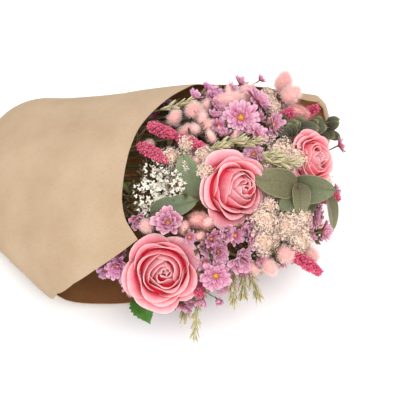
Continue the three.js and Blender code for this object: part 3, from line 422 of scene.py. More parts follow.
def finishPiece(bm, node, finishes):
    bmesh.ops.scale(bm, vec=(0.001,) * 3, verts=bm.verts[:])
    name = nodeName(node)
    mesh = bpy.data.meshes.new(name)
    bm.to_mesh(mesh)
    bm.free()
    for finish in finishes:
        mesh.materials.append(finish)
    mesh.set_sharp_from_angle(angle=math.radians(55))
    piece = bpy.data.objects.new(name, mesh)
    bpy.context.scene.collection.objects.link(piece)
    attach(piece, "root")
    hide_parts(node)
    return piece


# The wrap: one sheet of kraft paper, gathered at the waist and open at the mouth.
# A station is (x, far, near, high, lift); the mouth is (turn, x), with 0 on the far side, 90 on top,
# 180 on the near side and -90 underneath. A crease is (x, turn, x, turn) and its depth. The pairs named
# From and To hold where a form sets in or fades out, along x or round the sheet.
paper = {
    "thickness": 0.6, "waistX": -226, "sink": 2.5, "plyGap": 2.6, "columnsPerStep": 5, "rowsPerStep": 10,
    "stations": [
        (-250, 25, -25, 49, 0), (-231, 18, -18, 36, 7), (-221, 18, -18, 36, 7), (-200, 46, -32, 50, 1),
        (-180, 78, -50, 65, 0), (-155, 89, -66, 82, 0), (-120, 90, -90, 98, 0), (-80, 92, -115, 119, 0),
        (-40, 99, -121, 136, 0), (0, 107, -122, 146, 0), (60, 116, -122, 152, 0), (140, 122, -118, 156, 0),
    ],
    "mouth": [
        (-106, 50), (-100, 55), (-92, 75), (-82, 104), (-68, 128), (-50, 135), (-32, 139), (-14, 140),
        (0, 132), (11, 122), (16, 62), (22, 6), (32, 0), (42, -4), (54, -14), (66, -24), (78, -31), (92, -33),
        (106, -32), (118, -29), (127, -22), (135, -9), (143, -25), (151, -41), (162, -59), (178, -74),
        (198, -87),
    ],
    "mouthCorners": (9, 10, 11, 21), "startEdge": [(-250, -146), (-140, -146), (-80, -144), (50, -106)],
    "endEdge": [(-250, 236), (-170, 224), (-125, 208), (-91, 198)], "rows": [-250, -231, -221, -202, -176],
    "sharedRows": 4, "rowEase": 1.8, "squareUnder": 2.9, "squareNear": 1.6, "opening": (6, 56),
    "tuckTurn": (96, 140), "tuckX": (70, 130),
    "gathers": 1.3, "folds": 13, "foldSway": 1.3, "gatherFrom": (-232, -212), "gatherTo": (-205, -120),
    "tailGathers": 0.35, "tailTo": (-246, -228),
    "wrinkles": 0.9, "wrinkleFrom": (-222, -150), "sharp": 0.55, "sharpFrom": (-205, -150), "sharpWide": 0.03,
    "rollLong": 13, "rollRadius": 4, "rollFrom": (-72, -44), "rollTo": (9, 16),
    "creases": [
        ((-150, 82, -88, 64), 0.9), ((-70, 60, -40, 47), 1.3),
        ((-110, 150, -96, 186), 0.8), ((-196, 70, -168, 48), 1.2),
    ],
    "creaseWide": 2.2, "degreeLong": 1.75, "coveredTo": 10, "coveredUnder": 104,
}


def stretchAt(points, x):
    i = 0
    while i < len(points) - 2 and x > points[i + 1][0]:
        i += 1
    return i


def smoothValue(points, x, corners=()):
    # A smooth line through (x, value) points, straight-sided at the listed corners.
    i = stretchAt(points, x)
    (x0, v0), (x1, v1) = points[i], points[i + 1]
    step = x1 - x0
    t = clamp((x - x0) / step)

    def slope(k):
        if k in corners or k in (0, len(points) - 1):
            return (v1 - v0) / step
        (a, va), (b, vb) = points[k - 1], points[k + 1]
        return (vb - va) / (b - a)

    ease = 3 * t * t - 2 * t ** 3
    bend = (t ** 3 - 2 * t * t + t) * step * slope(i) + (t ** 3 - t * t) * step * slope(i + 1)
    return v0 * (1 - ease) + v1 * ease + bend


def straightValue(points, x):
    i = stretchAt(points, x)
    (x0, v0), (x1, v1) = points[i], points[i + 1]
    return v0 + clamp((x - x0) / (x1 - x0)) * (v1 - v0)


def smoothStep(x, low, high):
    t = clamp((x - low) / (high - low))
    return t * t * (3 - 2 * t)


def sectionAt(x):
    # The wrap's cross-section: its middle, half its width and height, and how far it has opened.
    far, near, high, lift = [smoothValue([(s[0], s[k]) for s in paper["stations"]], x) for k in (1, 2, 3, 4)]
    middle = Vector((x, (far + near) / 2, high / 2 + lift - paper["sink"]))
    return middle, (far - near) / 2, high / 2, smoothStep(x - paper["waistX"], *paper["opening"])


def roundness(c, s, opened):
    # The exponent of the section's outline: squarer underneath, flatter over the near shoulder.
    square = paper["squareUnder"] if s < 0 else (paper["squareNear"] if c < 0 else 2)
    return 2 + (square - 2) * opened


def paperPoint(x, turn):
    middle, half, tall, opened = sectionAt(x)
    tucked = smoothStep(-turn, *paper["tuckTurn"]) * smoothStep(-x, *paper["tuckX"])
    half -= paper["plyGap"] * tucked
    tall -= paper["plyGap"] * tucked
    c, s = math.cos(math.radians(turn)), math.sin(math.radians(turn))
    power = 2 / roundness(c, s, opened)
    point = Vector((x, middle.y + half * signedPower(c, power), middle.z + tall * signedPower(s, power)))
    return point, middle, paper["thickness"] / 2 + paper["plyGap"] * tucked


def fullness(at, section, room):
    # 1 where a place keeps this far off the sheet, taken as whole all round, and more further out.
    middle, half, tall, opened = section
    c, s = at.y - middle.y, at.z - middle.z
    power = roundness(c, s, opened)
    return (abs(c) / (half - room)) ** power + (abs(s) / (tall - room)) ** power, power


def mouthAt(turn):
    # How far the sheet reaches at this turn.
    if turn < paper["mouth"][0][0]:
        turn += 360
    return straightValue(paper["mouth"], turn)


def pressInside(bm, room=2.0):
    # What would touch the sheet lies against its inner face.
    sections = {}
    for vert in bm.verts:
        key = round(vert.co.x)
        if key not in sections:
            sections[key] = sectionAt(key)
        full, power = fullness(vert.co, sections[key], room)
        reach = full ** (1 / power)
        if reach <= 1:
            continue
        middle, half, tall, _ = sections[key]
        c, s = vert.co.y - middle.y, vert.co.z - middle.z
        turn = math.degrees(math.atan2(signedPower(s / tall, power / 2), signedPower(c / half, power / 2)))
        if vert.co.x < mouthAt(turn) + room:
            vert.co.y, vert.co.z = middle.y + c / reach, middle.z + s / reach


def clearOfWrap(at, room):
    # Only the front of the bunch and its near side stand outside the paper.
    covered = at.x < paper["coveredTo"] or (at.y > 0 and at.z < paper["coveredUnder"])
    return not covered or fullness(at, sectionAt(at.x), room)[0] < 1


def creaseDepth(x, turn):
    # Soft folds along straight lines on the flattened sheet.
    depth = 0
    degree = paper["degreeLong"]
    here = Vector((x, turn * degree))
    for (x0, turn0, x1, turn1), amount in paper["creases"]:
        a, b = Vector((x0, turn0 * degree)), Vector((x1, turn1 * degree))
        t = clamp((here - a).dot(b - a) / (b - a).length_squared)
        away = (here - a.lerp(b, t)).length
        depth += amount * math.exp(-(away / paper["creaseWide"]) ** 2) * min(1, 8 * t * (1 - t) + 0.3)
    return depth


def sheetPlace(s, t):
    # s runs round the sheet and t from the tail to the mouth, both 0 to 1.
    mouth = paper["mouth"]
    firstX, lastX = mouth[0][1], mouth[-1][1]
    step = s * (len(mouth) - 1)
    turn = straightValue(list(enumerate(m[0] for m in mouth)), step)
    mouthX = smoothValue([(i, m[1]) for i, m in enumerate(mouth)], step, paper["mouthCorners"])
    share = (turn - mouth[0][0]) / (mouth[-1][0] - mouth[0][0])
    rows = paper["rows"]
    level = t * (len(rows) - 1 + paper["sharedRows"])

    def rowX(endX):
        if level <= len(rows) - 1:
            return straightValue(list(enumerate(rows)), level)
        left = 1 - (level - len(rows) + 1) / paper["sharedRows"]
        return rows[-1] + (1 - left ** paper["rowEase"]) * (endX - rows[-1])

    x = rowX(mouthX)
    start, end = straightValue(paper["startEdge"], rowX(firstX)), straightValue(paper["endEdge"], rowX(lastX))
    around = start + share * (end - start)
    point, middle, floor = paperPoint(x, around)
    # Gathers run out of the waist, and long shallow wrinkles cross the sheet.
    gather = smoothStep(x, *paper["gatherFrom"]) * (1 - smoothStep(x, *paper["gatherTo"]))
    gather += paper["tailGathers"] * (1 - smoothStep(x, *paper["tailTo"]))
    sway = paper["foldSway"] * math.sin(around / 31)
    waved = paper["gathers"] * gather * math.sin(math.radians(around) * paper["folds"] + sway)
    soft = noise.noise(Vector((x / 90, around / 30, 3.1)))
    soft += 0.3 * noise.noise(Vector((x / 34, around / 17, 7.7)))
    crease = abs(noise.noise(Vector((x / 75 + around / 80, around / 55 - x / 120, 1.7))))
    sharp = paper["sharp"] * math.exp(-(crease / paper["sharpWide"]) ** 2)
    sharp *= smoothStep(x, *paper["sharpFrom"])
    waved += paper["wrinkles"] * smoothStep(x, *paper["wrinkleFrom"]) * soft - sharp - creaseDepth(x, around)
    # All of them lift the sheet off a place low inside the wrap.
    point += (point - Vector((x, middle.y, 0.45 * point.z + 8))).normalized() * waved
    # The far edge rolls over near the corner, so that its outer face shows.
    past = x - mouthX + paper["rollLong"]
    rolled = smoothStep(turn, *paper["rollFrom"]) * (1 - smoothStep(turn, *paper["rollTo"]))
    if past > 0 and rolled > 0.02:
        radius = paper["rollRadius"] / rolled
        inward = (middle - point) * Vector((0, 1, 1))
        point += Vector((radius * math.sin(past / radius) - past, 0, 0))
        point += inward.normalized() * radius * (1 - math.cos(past / radius))
    point.z = max(floor, point.z)
    return point


def paperFinish(name, look):
    # Unbleached kraft paper: matt, with fine darker fibres and a soft mottle of a few centimetres.
    material, tree, shader = newFinish(name, look)
    place = addNode(tree, "ShaderNodeTexCoord").outputs["Object"]
    mottle = addNode(tree, "ShaderNodeTexNoise", values={"Scale": 1000 / look["mottle"], "Detail": 3.0},
                     links={"Vector": place})
    base = addNode(tree, "ShaderNodeValToRGB", links={0: mottle.outputs["Fac"]}, stops=look["stops"])
    length, width = 1000 / look["fibreLong"], 1000 / look["fibreWide"]
    stretch = addNode(tree, "ShaderNodeMapping", values={"Scale": (length, width, width)},
                      links={"Vector": place})
    fibre = addNode(tree, "ShaderNodeTexNoise", values={"Scale": 1.0, "Detail": 2.0},
                    links={"Vector": stretch.outputs[0]}).outputs["Fac"]
    fleck = addNode(tree, "ShaderNodeValToRGB", links={0: fibre},
                    stops=[(0.3, "#E4DED6"), (0.5, "#FFFFFF"), (0.7, "#F1ECE4")])
    tinted = addNode(tree, "ShaderNodeMix", data_type="RGBA", blend_type="MULTIPLY", values={0: 0.45},
                     links={6: base.outputs[0], 7: fleck.outputs[0]})
    colourAndRelief(tree, shader, tinted.outputs[2], fibre, 0.2, 0.0003)
    return material


kraftOutside = paperFinish("kraftPaper", {
    "stops": [(0.3, "#AB9277"), (0.5, "#B1997E"), (0.7, "#B79F85")], "mottle": 40,
    "fibreLong": 3.8, "fibreWide": 1.0, "roughness": 0.85, "gloss": 0.2,
})
# The wrap's inner face is rougher and painted a darker brown: painted shade inside the wrap.
kraftInsidePaintedShade = paperFinish("kraftPaperInsidePaintedShade", {
    "stops": [(0.3, "#9A6A42"), (0.5, "#A67449"), (0.7, "#B07E52")], "mottle": 30,
    "fibreLong": 3.2, "fibreWide": 1.1, "roughness": 0.95, "gloss": 0.1,
})

sheet = bmesh.new()
columns = (len(paper["mouth"]) - 1) * paper["columnsPerStep"]
rowCount = (len(paper["rows"]) - 1 + paper["sharedRows"]) * paper["rowsPerStep"]
bmesh.ops.create_grid(sheet, x_segments=columns, y_segments=rowCount, size=0.5)
for vert in sheet.verts:
    vert.co = sheetPlace(vert.co.x + 0.5, vert.co.y + 0.5)
sheet.normal_update()
shell = set(bmesh.ops.solidify(sheet, geom=sheet.faces[:], thickness=paper["thickness"])["geom"])
faceOutwards(sheet)
lowest = min(vert.co.z for vert in sheet.verts)
bmesh.ops.translate(sheet, vec=(0, 0, -lowest), verts=sheet.verts[:])
smoothFaces(sheet)
# The inner faces of the sheet take the darker finish, the painted shade inside the wrap.
for face in shell.intersection(sheet.faces):
    face.material_index = 1
wrap = finishPiece(sheet, "paper_wrap", [kraftOutside, kraftInsidePaintedShade])
print("wrap folded:", len(wrap.data.polygons), "faces")

# How the stems run: bound at bindingPoint, then spread to the mass of blooms, part of an ellipsoid.
bundle = {
    "bindingPoint": Vector((-205, 0, 22.5)), "domeCentre": Vector((30, 0, 72)),
    "domeRadii": Vector((125, 118, 76)), "forkDistance": 46, "stemRadius": 0.95, "twigRadius": 0.6,
    "roseStemRadius": 2.0, "tuftBack": 22, "cutEndsTo": -0.27,
}
growing = {}  # every spray's mesh, open until the gaps between the heads are closed
standing = []  # (place, radius) of every head


def domeNormal(at):
    away = Vector(at) - bundle["domeCentre"]
    return Vector(a / (r * r) for a, r in zip(away, bundle["domeRadii"])).normalized()


def domeDepth(at):
    away = Vector(at) - bundle["domeCentre"]
    return Vector(a / r for a, r in zip(away, bundle["domeRadii"])).length


def facingOf(head):
    if "facing" in head:
        return Vector(head["facing"]).normalized()
    outward = (Vector(head["at"]) - bundle["bindingPoint"]).normalized()
    return (domeNormal(head["at"]) + outward).normalized()


def headFrame(head, chance):
    return frameAt(head["at"], facingOf(head), anyTurn(chance))


def middleOf(places):
    places = [Vector(place) for place in places]
    return sum(places, Vector()) / len(places)


def scatter(chance, reach):
    return Vector([chance.uniform(-reach, reach) for _ in range(3)])


def softened(points, reach=9.0):
    # Rounds a route's corners within a short reach of each.
    route = [points[0]]
    for before, corner, after in zip(points, points[1:], points[2:]):
        arriving, leaving = before - corner, after - corner
        a = corner + arriving.normalized() * min(reach, 0.4 * arriving.length)
        b = corner + leaving.normalized() * min(reach, 0.4 * leaving.length)
        route += [a, (a + 2 * corner + b) / 4, b]
    return route + [points[-1]]


def stemOf(node, heads, seats):
    # The plant's stem and twigs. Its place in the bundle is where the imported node's stem is cut.
    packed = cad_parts[node].data.vertices
    ends = {tuple(round(c * 1000, 2) for c in vert.co) for vert in packed if vert.co.x < bundle["cutEndsTo"]}
    cutEnd = middleOf(ends)
    start = Vector((bundle["bindingPoint"].x, cutEnd.y, cutEnd.z))
    middle = middleOf(head["at"] for head in heads)
    outward = (middle - bundle["bindingPoint"]).normalized()
    fork = middle - outward * bundle["forkDistance"]
    first, *others = seats
    if not others and "rose" not in node:
        fork = first
    twigs = [[fork.lerp(first, 0.04 + 0.2 * i), seat] for i, seat in enumerate(others)]
    main = [cutEnd, start, fork] + ([first] if fork != first else [])
    return main, twigs


def growStem(bm, node, heads, seats, radius, material, chance):
    main, twigs = stemOf(node, heads, seats)
    route = softened(main)
    slim = [radius * (1 - 0.35 * i / len(route)) for i in range(len(route))]
    routes = [(route, slim)]
    for foot, seat in twigs:
        bow = (foot + seat) / 2 + scatter(chance, 1.5)
        routes.append(([foot, bow, seat], [bundle["twigRadius"], 0.9 * bundle["twigRadius"], 0.45]))
    growTubes(bm, routes, material)
    return [main[-2:]] + twigs


def growSprays(sprays, tufts, keys, grow, back, radius, slotName, finishesOf):
    # The sprays of one kind. A row of their tables gives the values that keys names. back leads from a
    # head to its seat on the twig, and the last of the kind's own finishes is its stalks'.
    for node, rows in sprays.items():
        heads = [dict(zip(keys, row)) for row in rows]
        seats = [Vector(head["at"]) - back(facingOf(head), head) for head in heads]
        chance, bm, finishes = random.Random(node), bmesh.new(), finishesOf(node)
        stalks = len(finishes) - 1
        growing[node] = {
            "bm": bm, "slot": slotName, "finishes": finishes + [shootLeafFinish], "stalks": stalks,
            "grow": grow, "chance": chance, "at": middleOf(head["at"] for head in heads),
            "stretches": growStem(bm, node, heads, seats, bundle["stemRadius"], stalks, chance),
        }
        for head in heads:
            standing.append((Vector(head["at"]), radius(head)))
            grow(bm, head, chance)
        growTufts(node, [dict(zip(keys, row)) for row in tufts.get(node, ())])
    print(slotName, "grown:", len(sprays), "sprays")


def growTufts(node, heads):
    # Further small heads of a spray, each on a thin twig from its stem.
    spray = growing[node]
    foot, seat = spray["stretches"][0]
    along = (seat - foot).normalized()
    length = (seat - foot).length
    routes = []
    for head in heads:
        at = Vector(head["at"])
        back = min(0.95, max(0.1, ((at - foot).dot(along) - bundle["tuftBack"]) / length))
        start = foot.lerp(seat, back)
        end = at - facingOf(head) * 0.6 * head["size"]
        middle = start.lerp(end, 0.5) + along * 2 + scatter(spray["chance"], 1.5)
        routes.append(([start, middle, end], [0.5, 0.45, 0.38]))
        standing.append((at, 0.8 * head["size"]))
        spray["grow"](spray["bm"], head, spray["chance"])
    if routes:
        growTubes(spray["bm"], routes, spray["stalks"], sides=0)


# Spray roses: a furled heart whose petals close over it, then rings that open further and roll back
# at the lip. Lengths are shares of the bloom's size. A ring is (petals, half angle, foot, belly, mouth,
# height, where the lip starts to roll, how far it rolls in radians, how far the sides drop, tone).
roses = {
    "rose_low": {"at": (13, -97, 97), "size": 33.5, "facing": (0.15, -0.62, 0.77), "leaf": (3, -100, 54),
                 "heart": (3, 3, 1), "leafShift": (-11, -3, 0)},
    "rose_mid": {"at": (56, -26, 128), "size": 32, "facing": (0.5, -0.36, 0.79), "leaf": (20, -52, 92),
                 "heart": (7, 3, 0), "leafShift": (0, 0, 0)},
    "rose_end": {"at": (115, 30, 108), "size": 27.5, "facing": (0.74, -0.06, 0.66), "leaf": (84, 50, 84),
                 "heart": (0, 0, 0), "leafShift": (0, 0, 0)},
}
roseForm = {
    "low": -0.42, "thickness": 0.45, "columns": 12, "rows": 14, "calyx": 6, "leafLong": 30, "leafWide": 10,
    "rings": [
        (2, 1.7, 0.04, 0.16, 0.03, 1, 0.96, 0.3, 0.1, 0.45),
        (3, 1.4, 0.08, 0.26, 0.09, 0.98, 0.95, 0.5, 0.12, 0.8),
        (3, 1.4, 0.1, 0.36, 0.18, 0.95, 0.95, 0.6, 0.14, 0.9),
        (3, 1.4, 0.14, 0.45, 0.31, 0.91, 0.94, 0.8, 0.18, 0.8),
        (3, 1.4, 0.17, 0.51, 0.46, 0.88, 0.9, 1.1, 0.24, 0.3),
        (4, 1.15, 0.2, 0.6, 0.62, 0.84, 0.83, 1.5, 0.3, 0.4),
        (5, 1, 0.24, 0.67, 0.76, 0.75, 0.74, 1.9, 0.36, 0.6),
        (5, 1, 0.27, 0.73, 0.88, 0.62, 0.66, 2.2, 0.36, 0.8),
    ],
    "packed": ((0.3, 0.36, 0.02, 1), (0.46, 0.3, -0.06, 0.6), (0.64, 0.26, -0.16, 0.2)),
}


def growPetal(bm, size, turn, ring, frameOfBloom, chance):
    _, halfAngle, foot, belly, mouth, high, lipStart, roll, drop, tone = ring
    mouth *= chance.uniform(0.88, 1.06)
    high *= chance.uniform(0.95, 1.03)
    roll *= chance.uniform(0.5, 1.2)
    phase, skew = anyTurn(chance), chance.uniform(-0.14, 0.14)
    notch = chance.uniform(-0.05, 0.03)

    def place(s, t):
        # A round petal: its sides end lower than its middle, and the lip rolls back on a small arc.
        reach = t * (1 - drop * abs(s) ** 2.8 - notch * math.exp(-(s / 0.25) ** 2))
        wide = 0.46 + 0.54 * math.sin(math.pi * min(1, 0.12 + 0.62 * t)) ** 0.9
        around = turn + (s + skew * t) * halfAngle * wide
        swell = math.sin(min(1.0, reach / 0.6) * math.pi / 2)
        out = foot + (belly - foot) * swell + (mouth - belly) * smoothStep(reach, 0.5, 1) + 0.035 * s
        rise = high * min(reach, lipStart)
        lip = max(0.0, reach - lipStart)
        if lip:
            bent = roll * lip / (1 - lipStart)
            arc = high * (1 - lipStart) / roll
            out += arc * (1 - math.cos(bent))
            rise += arc * math.sin(bent)
        out += 0.03 * math.sin(3.7 * s + phase) * t * t
        rise += 0.032 * math.sin(4.3 * s + 2 * phase) * t ** 3
        return spoke(out, around, roseForm["low"] + rise) * size

    petal = bladeForm(roseForm["columns"], roseForm["rows"], roseForm["thickness"], place)
    stampOnce(bm, petal, frameOfBloom, clamp(tone + chance.uniform(-0.35, 0.35)))


def toothedLeaf(s, t):
    # A rose leaf from its foot along +Z with its face to +X: pointed, toothed and folded at the rib.
    long, wide = roseForm["leafLong"], roseForm["leafWide"]
    outline = wide * 1.12 * math.sin(math.pi * (0.04 + 0.92 * t) ** 0.85) ** 0.75
    tooth = 1 - 0.1 * (math.sin(t * 46) > 0) * (abs(s) > 0.9)
    side = s * outline * tooth
    quilting = 0.45 * math.sin(26 * t - 5 * abs(s)) * abs(s) * (1 - abs(s))
    return (0.26 * abs(side) + quilting - 3.2 * (t - 0.4) ** 2, side, t * long - 0.12 * long * abs(s) * t)


def growRose(node, rose):
    chance = random.Random(node)
    at, facing, size = Vector(rose["at"]), Vector(rose["facing"]).normalized(), rose["size"]
    standing.append((at, 1.2 * size))
    bloom = bmesh.new()
    bloomFrame = frameAt(at, facing)
    start = anyTurn(chance)
    lastRing = len(roseForm["rings"]) - 1
    for level, ring in enumerate(roseForm["rings"]):
        heartShift = Matrix.Translation(Vector(rose["heart"]) * (1 - level / lastRing) ** 0.8)
        for i in range(ring[0]):
            turn = start + 2.4 * level + (i * 2 * math.pi) / ring[0] + chance.uniform(-0.12, 0.12)
            nod = Matrix.Rotation(chance.uniform(-0.09, 0.09), 4, chance.choice("XY"))
            growPetal(bloom, size, turn, ring, heartShift @ bloomFrame @ nod, chance)
    # Packed petals, as balls of (width, height, middle, share of the heart's shift), fill the bloom to
    # just below its lips. Their even deep coral is painted shade in the gaps between the petals.
    for wide, high, low, shift in roseForm["packed"]:
        packed = ballForm(3, lambda co: Vector((
            wide * co.x, wide * co.y, low + high * signedPower(co.z, 0.5))) * size, shades=(0.3, 0.3))
        stampOnce(bloom, packed, Matrix.Translation(Vector(rose["heart"]) * shift) @ bloomFrame, 0.1)
    finishPiece(bloom, node + "_bloom", [rosePetalFinish])

    green = bmesh.new()
    seat = at - facing * 0.66 * size
    growStem(green, node + "_stem", [rose], [at - facing * 0.62 * size], bundle["roseStemRadius"], 1, chance)
    calyx = ballForm(2, lambda co: Vector((co.x, co.y, 0.85 * co.z)) * roseForm["calyx"], material=1)
    stampOnce(green, calyx, frameAt(seat, facing))
    sepal = bladeForm(4, 8, 0.5, lambda s, t: (
        s * 2.6 * (1 - t) ** 0.8 + 0.01 * s, 4 + 11 * t, -1.5 - 5 * t * t + 0.8 * s * s))
    for i in range(5):
        stamp(green, sepal, frameAt(seat, facing, i * 2 * math.pi / 5), chance.random())
    leafAt = Vector(rose["leaf"])
    joint = seat - facing * 6
    rib = (leafAt - joint).normalized()
    growTubes(green, [([joint, joint.lerp(leafAt, 0.5) + up * 1.5, leafAt], [0.95, 0.85, 0.8])], 1)
    leafFoot = leafAt - rib * 3 + Vector(rose["leafShift"])
    blade = leafFrame(leafFoot, (rib.x + 0.9, rib.y - 0.4, 0), (0.1, -0.5, 0.8))
    stampOnce(green, bladeForm(12, 40, 0.5, toothedLeaf), blade, chance.random())
    finishPiece(green, node + "_stem", [roseLeafFinish, roseStemFinish])


for node, rose in roses.items():
    growRose(node, rose)
print("roses grown")

# Paper daisies: layers of straw-like bracts round an ochre eye. A head's "open" goes from 0, a bud,
# to 1, flat. A layer is (share of the petal's length, extra slope in degrees, petals).
daisySprays = {
    "daisy_spray_top": [
        ((52, 38, 141), 16, 1, (0.15, -0.45, 0.88)), ((40, 30, 131), 10, 0.3), ((28, 50, 131), 10, 0.5),
    ],
    "daisy_spray_crown": [
        ((68, 25, 138), 11, 0.9), ((79, 45, 129), 12, 0.7, (0.8, -0.1, 0.6)),
        ((76, 8, 137), 7, 0.1, (0.1, -0.9, 0.3)),
    ],
    "daisy_spray_far": [((61, 68, 127), 15, 0.9), ((41, 98, 109), 10, 0.6), ((57, 109, 106), 7, 0.3)],
    "daisy_spray_rim": [
        ((6, 58, 130), 9, 0.4), ((14, 76, 122), 8, 0.4), ((27, 72, 122), 7, 0.6), ((36, 86, 116), 8, 0.7),
    ],
    "daisy_spray_flap": [
        ((13, -66, 125), 15, 0.45, (0, -0.45, 0.9)), ((-14, -62, 115), 10, 0.4, (0.3, -0.8, 0.5)),
        ((-12, -22, 118), 5, 0.1),
    ],
    "daisy_spray_corner": [
        ((-26, -92, 84), 12, 0.6, (0.1, -0.8, 0.6)), ((-40, -84, 58), 10, 0.7, (0, -0.95, 0.3)),
    ],
    "daisy_spray_near": [
        ((57, -68, 127), 12, 0.2), ((46, -74, 112), 10, 0.8), ((72, -54, 120), 10, 0.3, (0.8, -0.5, 0.3)),
    ],
    "daisy_spray_side": [
        ((75, -79, 112), 13, 0.5, (0.2, -0.93, 0.3)), ((82, -64, 117), 10, 0.6), ((58, -83, 113), 9, 0.5),
    ],
    "daisy_spray_low": [
        ((58, -95, 105), 13, 1, (0.2, -0.62, 0.76)), ((62, -107, 88), 7, 0.2),
        ((50, -106, 80), 8, 0.2, (0.1, -0.9, 0)),
    ],
    "daisy_spray_right": [((137, -33, 98), 9, 0.5), ((124, -52, 74), 9, 0.3)],
    "daisy_spray_end": [((138, 66, 86), 9, 0.6), ((140, 32, 60), 11, 0.8)],
    "daisy_spray_back": [((22, 92, 96), 10, 0.7), ((88, 104, 76), 12, 0.9)],
    "daisy_spray_under": [((136, -6, 56), 11, 0.8), ((108, -38, 58), 12, 0.9)],
    "daisy_spray_foot": [
        ((22, -86, 42), 11, 0.8, (0.1, -0.95, 0.2)), ((62, -70, 46), 12, 0.8, (0.3, -0.9, 0.1)),
    ],
}
daisyTufts = {
    "daisy_spray_near": [((49, -72, 122), 9, 0.6), ((67, -64, 120), 9, 0.7), ((80, -63, 118), 9, 0.5)],
    "daisy_spray_side": [((56, -79, 116), 10, 0.6), ((74, -78, 113), 11, 0.5)],
}
daisyForm = {
    "closedSlope": 68, "openSlope": 12, "layers": [(1.0, 0, 17), (0.9, 8, 15), (0.62, 22, 13)],
    "budLayers": [(1.0, 0, 12), (0.85, 14, 9)], "petalWide": 0.19, "eyeShare": 0.24,
    "cuppedFrom": 0.35, "flatFrom": 0.75, "fullSize": 9.5, "florets": 34, "budFlorets": 9,
    "dark": ("daisy_spray_rim", "daisy_spray_corner"),
}


def daisyPetal(curl, notch):
    # A strap with a ragged tip: the middle and the sides end at different lengths.
    def place(s, t):
        wide = daisyForm["petalWide"] * (0.4 + 0.6 * min(1, t / 0.55))
        wide *= 1 - 0.32 * max(0, (t - 0.75) / 0.25) ** 2
        ragged = 1 - notch * (abs(math.sin(4.7 * s)) if t > 0.95 else 0)
        angle = curl * t * ragged
        reach = math.sin(angle) / curl
        rise = (1 - math.cos(angle)) / curl
        return (0.05 + reach, s * wide, rise + 0.4 * wide * s * s)
    return bladeForm(2, 3, 0.02, place)


daisyPetals = {
    "flat": [daisyPetal(-0.35, 0.07), daisyPetal(0.12, 0.05), daisyPetal(0.4, 0.1)],
    "cupped": [daisyPetal(0.5, 0.09), daisyPetal(0.8, 0.05), daisyPetal(0.2, 0.08)],
    "closed": [daisyPetal(1.0, 0.06), daisyPetal(1.35, 0.1)],
}
curlOf = {"flat": 0.1, "cupped": 0.6, "closed": 1.2}
daisyDome = ballForm(1, lambda co: (co.x, co.y, 0.55 * co.z), material=1)
discFloret = coneForm(3, 0.15, 0, material=1)
daisyCup = coneForm(6, 0.24, 0.07, material=2)


def growDaisy(bm, head, chance):
    size, openness = head["size"], head["open"]
    kind = "flat" if openness >= daisyForm["flatFrom"] else "cupped"
    if openness < daisyForm["cuppedFrom"]:
        kind = "closed"
    full = size >= daisyForm["fullSize"]
    slope = daisyForm["closedSlope"] - (daisyForm["closedSlope"] - daisyForm["openSlope"]) * openness
    slope -= math.degrees(curlOf[kind]) / 2
    place = headFrame(head, chance)
    headTone = chance.uniform(-0.35, 0.35)
    layers = daisyForm["layers" if full else "budLayers"]
    for level, (share, lean, count) in enumerate(layers):
        for i in range(count):
            turn = 2 * math.pi * (i + 0.37 * level) / count + chance.uniform(-0.12, 0.12)
            tilt = math.radians(slope + lean + chance.uniform(-9, 9))
            long = size * share * chance.uniform(0.82, 1.08)
            turned = Matrix.Rotation(turn, 4, "Z") @ Matrix.Rotation(-tilt, 4, "Y")
            twist = Matrix.Rotation(chance.uniform(-0.35, 0.35), 4, "X")
            petal = chance.choice(daisyPetals[kind])
            tone = clamp(0.5 + headTone + chance.uniform(-0.3, 0.3))
            stamp(bm, petal, place @ turned @ twist @ Matrix.Scale(long, 4), tone)
    stamp(bm, daisyCup, place @ Matrix.Rotation(math.pi, 4, "X") @ Matrix.Scale(0.5 * size, 4), 0.5)
    if kind != "closed":
        eye = daisyForm["eyeShare"] * size
        florets = daisyForm["florets" if full else "budFlorets"]
        sitting = place @ Matrix.Translation((0, 0, 0.08 * size))
        stamp(bm, daisyDome, sitting @ Matrix.Scale(eye, 4), 0.3)
        for i in range(florets):
            spread = math.sqrt((i + 0.5) / florets)
            out = spoke(spread, i * goldenAngle, 0.55 * math.sqrt(1 - 0.9 * spread ** 2))
            peg = frameAt(out * eye * 0.9, out.normalized()) @ Matrix.Scale(eye * 0.42, 4)
            stamp(bm, discFloret, sitting @ peg, chance.random())


def daisyFinishes(node):
    return [darkDaisyFinish if node in daisyForm["dark"] else daisyPetalFinish, daisyEyeFinish, stemFinish]


growSprays(daisySprays, daisyTufts, ("at", "size", "open", "facing"), growDaisy,
           lambda facing, head: facing * 0.4, lambda head: head["size"] * (0.6 + 0.35 * head["open"]),
           "daisy_petal", daisyFinishes)

# Bunny tails: an ovoid core under a coat of fine hairs that lean towards the tip.
bunnyTails = {
    "bunny_tails_rim": [((-4, 31, 134), 6, 10), ((11, 39, 138), 7, 9)],
    "bunny_tails_top": [((26, 26, 137), 5.5, 9), ((8, 20, 132), 6, 10)],
    "bunny_tails_long": [((36, 61, 131), 7, 17, (0.88, 0.2, 0.3)), ((48, 84, 118), 6, 9)],
    "bunny_tails_far": [((80, 106, 112), 8.5, 13, (0.1, 0.35, 0.9)), ((88, 92, 114), 8, 12)],
    "bunny_tail_corner": [((97, 80, 106), 7, 13, (0.7, -0.3, 0.3))],
    "bunny_tails_mid": [((25, -63, 110), 6.5, 10), ((36, -58, 124), 6.5, 10, (0.9, 0.1, 0.4))],
    "bunny_tails_flap": [((-4, -71, 122), 6, 8, (0.2, -0.6, 0.7)), ((-20, -74, 104), 5, 10)],
    "bunny_tails_near": [((98, -76, 101), 6, 11, (0.6, -0.7, 0.3)), ((109, -63, 104), 6.5, 9)],
    "bunny_tail_right": [((128, -50, 86), 8, 10)],
    "bunny_tail_inner": [((-20, 4, 126), 5, 7)],
    "bunny_tails_back": [((60, 100, 62), 8, 12), ((104, 100, 34), 8, 11)],
    "bunny_tails_under": [((130, 12, 34), 7, 11), ((100, -30, 28), 7, 11)],
}
